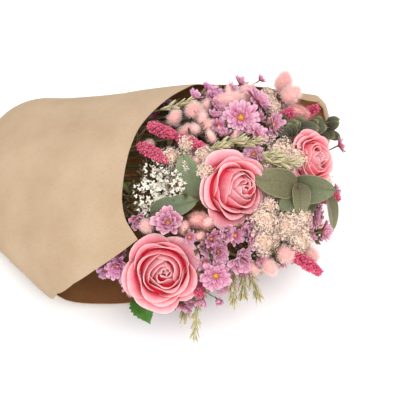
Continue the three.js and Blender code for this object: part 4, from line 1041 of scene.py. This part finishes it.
tailForm = {
    "core": 0.66, "coreLong": 0.74, "tufts": 8, "hairLong": 0.72, "shortest": 3.2, "hairLean": 0.85,
    "coral": ("bunny_tails_mid", "bunny_tail_corner"),
}
tailTuft = tuftForm(5, 0.036, 0.6)


def growTail(bm, head, chance):
    size, long = head["size"], head["long"]
    place = headFrame(head, chance)
    wide, tall = tailForm["core"] * size, tailForm["coreLong"] * long
    core = ballForm(2, lambda co: (
        wide * co.x * (1 - 0.2 * co.z), wide * co.y * (1 - 0.2 * co.z), tall * co.z), material=1)
    stampOnce(bm, core, place)
    tufts = int(head.get("tufts", tailForm["tufts"]) * (8 + size * long / 6))
    for x, y, z in spiralBall(tufts):
        narrow = wide * 0.92 * (1 - 0.2 * z)
        foot = Vector((narrow * x, narrow * y, 0.92 * tall * z))
        out = Vector((x, y, z * 0.8 + tailForm["hairLean"])) + scatter(chance, 0.3)
        reach = max(tailForm["hairLong"] * size, tailForm["shortest"]) * chance.uniform(0.7, 1.2)
        stamp(bm, tailTuft, place @ frameAt(foot, out.normalized()) @ Matrix.Scale(reach, 4), chance.random())


def tailFinishes(node):
    return [coralHairFinish if node in tailForm["coral"] else tailHairFinish, tailCoreFinish, stemFinish]


growSprays(bunnyTails, {}, ("at", "size", "long", "facing"), growTail,
           lambda facing, head: facing * 0.8 * head["long"],
           lambda head: 0.5 * (head["size"] + head["long"]), "bunny_tail", tailFinishes)

# Crimson seed spikes: plump husks in close spirals round a core.
crimsonSpikes = {
    "crimson_spikes_rim": [
        ((-12, 14, 137), 6, 15, (0.8, -0.35, 0.25)), ((15, 4, 141), 5, 13, (0.92, -0.3, 0.15)),
    ],
    "crimson_spike_flap": [((-14, -9, 136), 5.5, 18, (0.84, -0.46, 0.24))],
    "crimson_spikes_far": [((84, 66, 112), 5.5, 12), ((105, 92, 92), 5, 11)],
    "crimson_spike_near": [((125, -60, 92), 6, 19, (0.75, -0.1, -0.55))],
    "crimson_spike_low": [((46, -98, 90), 5, 10, (0.1, -0.9, 0.2))],
    "crimson_spike_end": [((133, 14, 78), 5.5, 13)],
}
spikeForm = {"husks": 10, "huskLong": 4.4, "huskWide": 0.3, "core": 0.55}
spikeHusk = ballForm(1, lambda co: (
    spikeForm["huskWide"] * co.x, spikeForm["huskWide"] * co.y, 0.5 + 0.5 * co.z * abs(co.z) ** 0.4))


def growSpike(bm, head, chance):
    size, long = head["size"], head["long"]
    place = headFrame(head, chance)
    core = ballForm(2, lambda co: (
        spikeForm["core"] * size * co.x, spikeForm["core"] * size * co.y, 0.95 * long * co.z))
    stampOnce(bm, core, place, 0.0)
    husks = int(spikeForm["husks"] * long)
    for i in range(husks):
        z = 1 - 2 * (i + 0.5) / husks
        ring = (1 - abs(z) ** 2.6) ** 0.5 * (0.85 - 0.15 * z)
        turn = i * goldenAngle
        foot = spoke(0.5 * size * ring, turn, 0.93 * long * z)
        out = spoke(1, turn, 0.75 + 0.9 * max(0, z) ** 2) + scatter(chance, 0.3)
        huskLong = spikeForm["huskLong"] * chance.uniform(0.75, 1.15)
        husk = frameAt(foot, out.normalized()) @ Matrix.Scale(huskLong, 4)
        stamp(bm, spikeHusk, place @ husk, chance.random())


growSprays(crimsonSpikes, {}, ("at", "size", "long", "facing"), growSpike,
           lambda facing, head: facing * 0.85 * head["long"],
           lambda head: 0.5 * (head["size"] + head["long"]), "crimson_spike",
           lambda node: [spikeHuskFinish, twigFinish])

# Cream heads: a dome of tiny star florets, with one twig from the head's foot for every few of them.
# The tufts are smaller side heads of the same plants.
creamHeads = {
    "cream_heads_mid": [((17, -6, 128), 13), ((27, -28, 124), 9)],
    "cream_head_far": [((67, 88, 104), 12)],
    "cream_head_crown": [((90, 18, 126), 15)],
    "cream_head_near": [((94, -48, 106), 16)],
    "cream_head_right": [((113, -36, 106), 14)],
    "cream_head_low": [((84, -58, 72), 13)],
    "cream_head_back": [((128, 62, 30), 13)],
}
creamTufts = {
    "cream_heads_mid": [((3, -12, 139), 8), ((14, 2, 141), 8), ((31, -9, 144), 8), ((34, -25, 146), 7)],
    "cream_head_crown": [((104, 20, 121), 12), ((95, 8, 128), 10)],
    "cream_head_near": [((90, -62, 114), 13), ((88, -46, 121), 13)],
    "cream_head_right": [((119, -47, 101), 13), ((106, -42, 113), 12), ((118, -30, 111), 9)],
    "cream_head_far": [((68, 98, 102), 8), ((74, 78, 114), 8)],
}
creamForm = {
    "floretSize": (1.1, 1.85), "perArea": 0.16, "core": 0.66, "flat": 0.76, "span": 1.66,
    "reach": (0.72, 1.2), "floretsPerTwig": 9,
}
creamStars = [starForm(5, 0.42, 0.5, 0.3), starForm(4, 0.4, 0.9, 0.3), starForm(4, 0.45, 0.3, 0.3)]


def growCream(bm, head, chance):
    size = head["size"]
    place = headFrame(head, chance)
    core = ballForm(2, lambda co: (
        Vector(co) * creamForm["core"] * (1 + 0.1 * math.sin(9 * co.x + 7 * co.y)) * size), material=1)
    stampOnce(bm, core, place)
    florets = int(creamForm["perArea"] * 4 * math.pi * size * size)
    foot = Vector((0, 0, -0.5 * size))
    routes = []
    for i, (x, y, z) in enumerate(spiralBall(florets, creamForm["span"])):
        clump = 0.88 + 0.32 * noise.noise(Vector((x, y, z)) * 1.7 + Vector(head["at"]))
        reach = size * clump * chance.uniform(*creamForm["reach"])
        tip = Vector((x, y, creamForm["flat"] * z)) * reach
        out = (tip - foot * 0.4).normalized() + scatter(chance, 0.35)
        floret = frameAt(tip, out.normalized(), anyTurn(chance))
        scale = Matrix.Scale(chance.uniform(*creamForm["floretSize"]), 4)
        stamp(bm, chance.choice(creamStars), place @ floret @ scale, chance.random())
        if i % creamForm["floretsPerTwig"] == 0:
            routes.append(([place @ (foot + scatter(chance, 0.5)), place @ tip], [0.4, 0.22]))
    growTubes(bm, routes, 1, sides=0)


growSprays(creamHeads, creamTufts, ("at", "size"), growCream,
           lambda facing, head: facing * 0.5 * head["size"], lambda head: head["size"], "cream_floret",
           lambda node: [creamFloretFinish, creamCoreFinish, twigFinish])

# Gypsophila: fine brown twigs that fork and fork again, with a white flower at each end.
gypSpray = {
    "gyp_spray": [((-3, -36, 122), 23)],
}
gypTufts = {"gyp_spray": [((10, -38, 141), 9)]}
gypForm = {"branchArea": 15, "flowers": 11, "flowerSize": (1.5, 2.4)}
gypStars = [starForm(5, 0.5, 0.9, 0.3), starForm(4, 0.5, 0.5, 0.3)]


def growGyp(bm, head, chance):
    size = head["size"]
    place = headFrame(head, chance)
    foot = Vector((0, 0, -0.62 * size))
    branches = round(size * size / gypForm["branchArea"])
    routes = []
    for i in range(branches):
        spread = math.sqrt((i + 0.5) / branches) * 0.9 * size
        high = 0.34 * size * (1 - (spread / size) ** 2) + chance.uniform(-2, 2)
        hub = spoke(spread, i * goldenAngle, high)
        knee = foot.lerp(hub, 0.62) + scatter(chance, 1.5)
        start = foot + scatter(chance, 0.5)
        routes.append(([place @ start, place @ start.lerp(knee, 0.5), place @ knee], [0.45, 0.38, 0.3]))
        for _ in range(gypForm["flowers"]):
            tip = hub + Vector([chance.gauss(0, 3.4), chance.gauss(0, 3.4), chance.gauss(0, 2.2)])
            if not clearOfWrap(place @ tip, 4):
                continue
            routes.append(([place @ (knee + scatter(chance, 0.2)), place @ tip], [0.26, 0.18]))
            out = (tip - knee).normalized() + scatter(chance, 0.5)
            scale = chance.uniform(*gypForm["flowerSize"])
            for star, share in ((gypStars[0], 1.0), (gypStars[1], 0.72)):
                flower = frameAt(tip, out.normalized(), anyTurn(chance))
                stamp(bm, star, place @ flower @ Matrix.Scale(scale * share, 4), chance.random())
    growTubes(bm, routes, 1, sides=0)


growSprays(gypSpray, gypTufts, ("at", "size"), growGyp,
           lambda facing, head: facing * 0.62 * head["size"], lambda head: 0.8 * head["size"],
           "white_floret", lambda node: [gypFloretFinish, twigFinish])

# Eucalyptus: broad round leaves on short stalks, folded along the rib and wavy at the edge. The
# leaflets are (x, y, z, half length, direction) and stand round the leaves of the same spray.
eucalyptusLeaves = {
    "eucalyptus_mid": [
        ((23, -29, 138), 20, 12, (-0.48, 0.7, 0.5), (-0.1, -0.6, 0.8)),
        ((14, -51, 126), 20, 9, (0.85, 0.4, 0.15), (-0.1, -0.5, 0.9)),
    ],
    "eucalyptus_right": [
        ((92, -14, 131), 19, 12, (-0.8, -0.1, 0.2), (0.2, -0.4, 0.9)),
        ((122, -6, 118), 19, 12, (0.9, 0.1, 0.1), (0.1, -0.5, 0.85)),
        ((114, -20, 122), 14, 8, (0.2, -0.9, -0.3), (0.4, -0.3, 0.85)),
        ((142, -12, 98), 15, 8, (0.3, -0.7, -0.5), (0.8, -0.2, 0.5)),
    ],
    "eucalyptus_far": [
        ((94, 52, 122), 9, 6, (0.5, 0.7, 0.1), (0, -0.4, 0.9)),
        ((110, 58, 116), 9, 6, (0.9, 0.1, 0), (0.2, -0.4, 0.9)),
        ((122, 78, 96), 8, 5.5, (0.8, 0.5, -0.2), (0.3, -0.3, 0.9)),
    ],
    "eucalyptus_back": [
        ((40, 104, 78), 15, 10, (0.6, 0.5, 0.4), (-0.1, 0.9, 0.3)),
        ((76, 106, 44), 15, 10, (0.9, 0.3, -0.1), (0.1, 0.9, 0.2)),
    ],
}
leafletForm = {"wide": 0.72, "up": (0.15, -0.45, 0.88)}
leaflets = {
    "eucalyptus_far": [
        ((95, 46, 126), 7, (-0.4, 0.8, 0.2)), ((101, 62, 116), 7, (0.2, 0.9, 0.1)),
        ((98, 54, 120), 6, (0.5, 0.7, 0.2)), ((118, 66, 108), 8, (0.9, 0.3, 0)),
        ((116, 78, 100), 7, (0.3, 0.9, 0.2)), ((127, 70, 96), 7, (0.9, -0.2, -0.2)),
        ((129, 80, 94), 6, (0.8, 0.6, 0.1)), ((90, 40, 128), 7, (-0.8, 0.2, 0.1)),
        ((112, 68, 108), 7, (0.5, 0.2, 0.6)), ((86, 56, 122), 7, (-0.5, 0.6, 0.3)),
        ((130, 84, 98), 6, (0.9, 0.5, 0.1)), ((130, 74, 104), 6, (0.6, 0.2, 0.4)),
        ((133, 72, 92), 6, (0.9, 0, -0.3)),
    ],
    "eucalyptus_right": [((132, 2, 104), 8, (0.9, 0.3, -0.2)), ((104, -26, 122), 9, (-0.5, -0.6, 0))],
}


def growEucalyptusLeaf(bm, head, chance):
    long, wide = head["size"], head["wide"]
    phase, twist = anyTurn(chance), chance.uniform(-0.12, 0.12)
    detail = (14, 20) if long > 12 else (6, 10)

    def place(s, t):
        # The outline is a full oval, a little broader below the middle and pointed at the tip.
        reach = 2 * t - 1
        outline = math.sqrt(max(0.0, 1 - abs(reach) ** 2.3)) * (1 - 0.2 * reach)
        outline *= 1 - 0.3 * max(0, reach - 0.45)
        side = s * wide * max(0.03, outline)
        along = reach * long * (1 + 0.5 * max(0, reach - 0.8) * (1 - abs(s)))
        groove = 0.5 * math.exp(-(s / 0.08) ** 2)
        wave = 0.7 * math.sin(4.5 * t + phase) * abs(s) ** 2
        bow = 0.22 * abs(side) - 0.12 * along * along / long
        return (bow - groove + wave + twist * side * reach, side, along)

    leaf = bladeForm(*detail, 0.45, place)
    stampOnce(bm, leaf, leafFrame(Vector(head["at"]), head["facing"], head["up"]), chance.random())


leafletRows = {
    node: [(at, long, leafletForm["wide"] * long, facing, leafletForm["up"]) for at, long, facing in rows]
    for node, rows in leaflets.items()
}
eucalyptusFinishes = {"eucalyptus_far": darkEucalyptusFinish, "eucalyptus_right": oliveEucalyptusFinish}
growSprays(eucalyptusLeaves, leafletRows, ("at", "size", "wide", "facing", "up"), growEucalyptusLeaf,
           lambda facing, head: facing * 0.85 * head["size"], lambda head: 0.6 * head["size"],
           "eucalyptus_leaf", lambda node: [eucalyptusFinishes.get(node, eucalyptusFinish), twigFinish])

# Oats: a thin rib with hanging spikelets, each of open husks with bristles.
oatSprays = {
    "oats_low": [((46, -117, 60), 20, (0.05, -0.5, -0.8))],
    "oats_near": [((73, -98, 98), 16, (0.2, -0.9, 0.1)), ((88, -88, 92), 15, (0.4, -0.8, 0.1))],
    "oats_top": [((44, 6, 144), 15, (0.7, 0.2, 0.3))],
    "oats_crown": [((92, 2, 138), 14, (0.9, 0.1, 0.1))],
    "oats_rim": [((-6, 44, 134), 17, (0.8, 0.2, 0.3))],
}
oatTufts = {
    "oats_top": [((62, 12, 142), 10, (0.7, 0.2, 0.3)), ((36, 0, 143), 9, (0.7, 0.2, 0.3))],
    "oats_crown": [((80, 6, 139), 10, (0.9, 0.1, 0.1))],
    "oats_near": [((80, -92, 96), 11, (0.2, -0.9, 0.1))],
}
oatForm = {"spikelets": 9, "huskLong": 10.5}
oatHusk = bladeForm(2, 5, 0.03, lambda s, t: (
    0.11 * s * math.sin(math.pi * min(1, 0.1 + 0.88 * t)) ** 0.8, 0.1 * t * (1 - t) + 0.05 * (1 - s * s), t))
oatBristle = coneForm(3, 0.016, 0.006)


def growOat(bm, head, chance):
    size = head["size"]
    place = headFrame(head, chance)
    rib = [place @ Vector(p) for p in ((0, 0, -size), (0.6, 0, 0), (0, 0, 0.85 * size))]
    growTubes(bm, [(rib, [0.5, 0.4, 0.25])], 1, sides=0)
    for i in range(oatForm["spikelets"]):
        level = -0.8 * size + 1.65 * size * i / oatForm["spikelets"]
        turn = i * goldenAngle
        lean = chance.uniform(0.3, 0.55) * (1 - 0.5 * i / oatForm["spikelets"])
        foot = Vector((0, 0, level))
        hang = Matrix.Translation(foot) @ Matrix.Rotation(turn, 4, "Z") @ Matrix.Rotation(lean, 4, "X")
        long = oatForm["huskLong"] * chance.uniform(0.8, 1.1)
        for side in range(3):
            opened = Matrix.Rotation(-chance.uniform(0.1, 0.26), 4, "X")
            opened = Matrix.Rotation(side * 2 * math.pi / 3, 4, "Z") @ opened
            stamp(bm, oatHusk, place @ hang @ opened @ Matrix.Scale(long, 4), chance.random())
        bristle = hang @ Matrix.Rotation(chance.uniform(-0.2, 0.2), 4, "Y") @ Matrix.Scale(1.35 * long, 4)
        stamp(bm, oatBristle, place @ bristle, 0.9)


growSprays(oatSprays, oatTufts, ("at", "size", "facing"), growOat,
           lambda facing, head: facing * 0.95 * head["size"], lambda head: 0.5 * head["size"],
           "oat_straw", lambda node: [oatHuskFinish, stemFinish])

# Smaller blooms of each spray's own kind close the gaps just below the heads, and side shoots with
# dry leaves fill what is left, as they do in a real bunch.
filling = {
    "seed": 41, "places": 1350, "depth": (0.84, 0.92), "endFrom": 0.55, "endDepth": 0.88, "fromX": -34,
    "lowest": 26, "gap": 2.7, "room": 10, "bareTo": 14, "bareFrom": 88,
    "flank": [(30, -98), (54, -52), (80, -44), (100, -29), (120, -16), (150, -16)], "flankSlope": 0.52,
    "plain": (growSpike, growOat), "plainShare": 0.12, "plainTo": 100,
    "shoots": 17, "shootLong": (8, 18), "leafLong": (6, 11), "shootDepth": 0.9,
    "shootsFrom": -50, "shootBack": (5, 46), "shootRoom": 13, "roseRoom": 1.05,
}
smallHead = {
    growDaisy: lambda chance: {"size": chance.uniform(7, 10), "open": chance.uniform(0.2, 0.95)},
    growTail: lambda chance: {"size": chance.uniform(4.5, 6), "long": chance.uniform(8, 11), "tufts": 4},
    growSpike: lambda chance: {"size": 4.2, "long": chance.uniform(8, 11)},
    growCream: lambda chance: {"size": chance.uniform(6.5, 8.5)},
    growGyp: lambda chance: {"size": chance.uniform(9, 11)},
    growOat: lambda chance: {"size": chance.uniform(8, 10)},
    growEucalyptusLeaf: lambda chance: {
        "size": chance.uniform(7, 9.5), "wide": 5.5, "up": (0.1, -0.4, 0.9),
        "facing": (chance.uniform(-1, 1), chance.uniform(-1, 1), 0.3)},
}
shootLeaf = bladeForm(2, 2, 0.05, lambda s, t: (
    0.18 * t * t, s * 0.2 * math.sin(math.pi * min(1, 0.12 + 0.86 * t)) ** 0.7, t))


def onFlank(at):
    # The near side falls away inwards below the widest part.
    reach = straightValue(filling["flank"], at.x) - filling["flankSlope"] * (at.z - filling["lowest"])
    return Vector((at.x, max(at.y, reach), at.z))


def closeGaps():
    chance = random.Random(filling["seed"])
    added = 0
    for side, rise, level in spiralBall(filling["places"]):
        away = Vector((level, side, rise))
        depth = chance.uniform(*filling["depth"])
        if level > filling["endFrom"]:
            depth *= filling["endDepth"]
        at = onFlank(bundle["domeCentre"] + Vector(a * r for a, r in zip(away, bundle["domeRadii"])) * depth)
        if at.x < filling["fromX"] or at.z < filling["lowest"] or not clearOfWrap(at, filling["room"]):
            continue
        # The stems behind the gypsophila and the spikes stay bare.
        if at.x < filling["bareTo"] and at.z > filling["bareFrom"]:
            continue
        if any((at - place).length < 0.8 * radius + filling["gap"] for place, radius in standing):
            continue
        plain = chance.random() < filling["plainShare"] and at.x < filling["plainTo"]
        likely = [node for node in growing if plain or growing[node]["grow"] not in filling["plain"]]
        nearest = sorted(likely, key=lambda node: (growing[node]["at"] - at).length)[:3]
        node = chance.choice((nearest[0], nearest[0], nearest[1], nearest[2]))
        head = {"at": at, **smallHead[growing[node]["grow"]](chance)}
        if "facing" not in head:
            head["facing"] = domeNormal(at) + scatter(chance, 0.55)
        growTufts(node, [head])
        added += 1
    return added


def growShoots(spray):
    # Twigs with small leaves from the spray's own stalks. They stay below the heads.
    chance, routes = spray["chance"], []
    for _ in range(filling["shoots"]):
        foot, seat = chance.choice(spray["stretches"])
        length = (seat - foot).length
        start = seat.lerp(foot, min(0.95, chance.uniform(*filling["shootBack"]) / length))
        away = domeNormal(start) + scatter(chance, 1.0)
        direction = (away.normalized() + 0.7 * (seat - foot).normalized()).normalized()
        tip = start + direction * chance.uniform(*filling["shootLong"])
        if domeDepth(tip) > filling["shootDepth"] or start.x < filling["shootsFrom"] or onFlank(tip) != tip:
            continue
        inRose = any(
            (tip - Vector(rose["at"])).length < filling["roseRoom"] * rose["size"] for rose in roses.values())
        if inRose or not clearOfWrap(tip, filling["shootRoom"]):
            continue
        routes.append(([start, start.lerp(tip, 0.5) + domeNormal(start) * 0.8, tip], [0.45, 0.38, 0.28]))
        for i in range(chance.randint(2, 4)):
            spot = start.lerp(tip, 1 - 0.28 * i)
            lean = (direction + scatter(chance, 0.8)).normalized()
            size = chance.uniform(*filling["leafLong"])
            place = leafFrame(spot, lean, domeNormal(start)) @ Matrix.Scale(size, 4)
            for polygon in shootLeaf["mesh"].polygons:
                polygon.material_index = spray["stalks"] + 1
            stamp(spray["bm"], shootLeaf, place, chance.random())
    if routes:
        growTubes(spray["bm"], routes, spray["stalks"], sides=0)


print("gaps closed by", closeGaps(), "small heads")
for node, spray in growing.items():
    growShoots(spray)
    pressInside(spray["bm"])
    finishPiece(spray["bm"], node, spray["finishes"])
print("sprays finished:", len(growing))

# Jute twine: three turns of two twisted strands at the waist, a knot and two frayed ends.
twine = {
    "radius": 1.2, "innerRadius": 19.05, "centreZ": 22.5, "turns": (-2.3, 0, 2.3), "lay": 34, "steps": 260,
    "strandShare": 0.58, "strandReach": 0.42,
    "knot": [
        (-4, -3, -1), (-2, 3.5, 1.2), (2.6, 2.5, 2), (3, -2.6, 1), (-2, -3.2, 2), (-3.4, 2, 0.4),
        (3.6, 3.4, -1),
    ],
    "ends": ((-9, -13), (7, 15)), "endRoute": ((0.5, 0.3, 2.4), (1, 0.6, 2), (1.35, 1, 0), (1.6, 1.25, -2.5)),
}


def strandsAlong(points, twists, closed=False):
    # Two strands wound round a line.
    routes = []
    for strand in range(2):
        wound = []
        for i, point in enumerate(points):
            if closed or i + 1 < len(points):
                after = points[(i + 1) % len(points)]
            else:
                after = point + (point - points[i - 1])
            heading = (after - point).normalized()
            side = heading.cross(up if abs(heading.z) < 0.9 else Vector((1, 0, 0))).normalized()
            angle = twists * 2 * math.pi * i / len(points) + strand * math.pi
            offset = side * math.cos(angle) + heading.cross(side) * math.sin(angle)
            wound.append(point + offset * twine["radius"] * twine["strandReach"])
        if closed:
            wound += wound[:2]
        routes.append((wound, [twine["radius"] * twine["strandShare"]] * len(wound)))
    return routes


def cornersCut(points, rounds=3):
    # A smooth line through a few points, by repeated corner cutting.
    for _ in range(rounds):
        cut = [p for a, b in zip(points, points[1:]) for p in (a.lerp(b, 0.25), a.lerp(b, 0.75))]
        points = [points[0]] + cut + [points[-1]]
    return points


tie = bmesh.new()
ringRadius = twine["innerRadius"] + twine["radius"]
for offset in twine["turns"]:
    circle = []
    for i in range(twine["steps"]):
        turn = 2 * math.pi * i / twine["steps"]
        circle.append(Vector((
            paper["waistX"] + offset + 0.3 * math.sin(3 * turn + offset), ringRadius * math.cos(turn),
            twine["centreZ"] + ringRadius * math.sin(turn))))
    growTubes(tie, strandsAlong(circle, twine["lay"], closed=True), 0)
top = Vector((paper["waistX"], 0, twine["centreZ"] + twine["innerRadius"] + 2 * twine["radius"]))
growTubes(tie, strandsAlong(cornersCut([top + Vector(p) for p in twine["knot"]]), 6), 0)
for dx, dy in twine["ends"]:
    end = [top] + [top + Vector((along * dx, across * dy, rise)) for along, across, rise in twine["endRoute"]]
    growTubes(tie, strandsAlong(cornersCut(end), 5), 0)
twineFinish = skinFinish("juteTwine", {
    "stops": [(0.25, "#8E6D42"), (0.5, "#B08E5E"), (0.8, "#C9AA7C")], "spot": 0.9,
    "roughness": 0.95, "sheen": 0.2,
})
finishPiece(tie, "twine_tie", [twineFinish])
print("twine tied")

# A natural rubber band holds the stems under the paper.
bandForm = {"inner": 13.75, "outer": 15.35, "wide": 7, "x": -211, "centreZ": 22.5, "sides": 12, "steps": 64}
band = bmesh.new()
bmesh.ops.create_circle(band, cap_ends=False, radius=1, segments=bandForm["sides"])
wide, thick = bandForm["wide"] / 2, (bandForm["outer"] - bandForm["inner"]) / 2
for vert in band.verts:
    across, proud = wide * signedPower(vert.co.x, 0.5), thick * signedPower(vert.co.y, 0.6)
    vert.co = (bandForm["x"] + across, 0, bandForm["centreZ"] + bandForm["inner"] + thick + proud)
bmesh.ops.spin(band, geom=band.edges[:], cent=(0, 0, bandForm["centreZ"]), axis=(1, 0, 0),
               angle=2 * math.pi, steps=bandForm["steps"], use_merge=True)
faceOutwards(band)
smoothFaces(band)
bandFinish = skinFinish("rubberBand", {
    "stops": [(0.3, "#7E6038"), (0.7, "#957449")], "spot": 8.0, "roughness": 0.6, "gloss": 0.4,
})
finishPiece(band, "stem_band", [bandFinish])
print("band made")

# The stage: a pale floor, soft light from above and the camera that looks down on the bouquet.
stage = {
    "floorSize": 6, "floorColour": (0.95, 0.95, 0.95, 1), "sky": 1.15,
    "lamps": {
        "keyLight": ((0.4, -0.35, 1.3), (0.02, 0, 0.08), 0.8, 9),
        "fillLight": ((-0.6, -0.9, 1.0), (0, 0, 0.08), 1.0, 3),
    },
    "azimuth": 12, "elevation": 58, "lens": 85, "sensor": 36, "distance": 0.85, "target": (0.025, 0, 0.06),
}
bpy.ops.mesh.primitive_plane_add(size=stage["floorSize"], location=(0, 0, -0.0005))
floor = bpy.context.object
floor.name = "paleFloor"
floorFinish, _, floorShader = newFinish("paleFloor", {"roughness": 0.9, "gloss": 0.5})
floorShader.inputs["Base Color"].default_value = stage["floorColour"]
floor.data.materials.append(floorFinish)

world = bpy.data.worlds.new("studio")
world.use_nodes = True
sky = world.node_tree.nodes["Background"]
sky.inputs["Color"].default_value = (1, 1, 1, 1)
sky.inputs["Strength"].default_value = stage["sky"]
bpy.context.scene.world = world


def setDown(name, data, place, back):
    # A lamp or a camera that looks along its own -Z, away from back.
    holder = bpy.data.objects.new(name, data)
    holder.location = place
    holder.rotation_mode = "QUATERNION"
    holder.rotation_quaternion = back.to_track_quat("Z", "Y")
    bpy.context.scene.collection.objects.link(holder)
    return holder


for name, (place, target, size, power) in stage["lamps"].items():
    lamp = bpy.data.lights.new(name, "AREA")
    lamp.size, lamp.energy = size, power
    setDown(name, lamp, place, Vector(place) - Vector(target))

camera = bpy.data.cameras.new("camera")
camera.lens, camera.sensor_width = stage["lens"], stage["sensor"]
turn, rise = math.radians(stage["azimuth"]), math.radians(stage["elevation"])
back = Vector((math.sin(turn) * math.cos(rise), -math.cos(turn) * math.cos(rise), math.sin(rise)))
place = Vector(stage["target"]) + back * stage["distance"]
bpy.context.scene.camera = setDown("camera", camera, place, back)
bpy.context.scene.view_settings.view_transform = "Standard"
print("stage set")
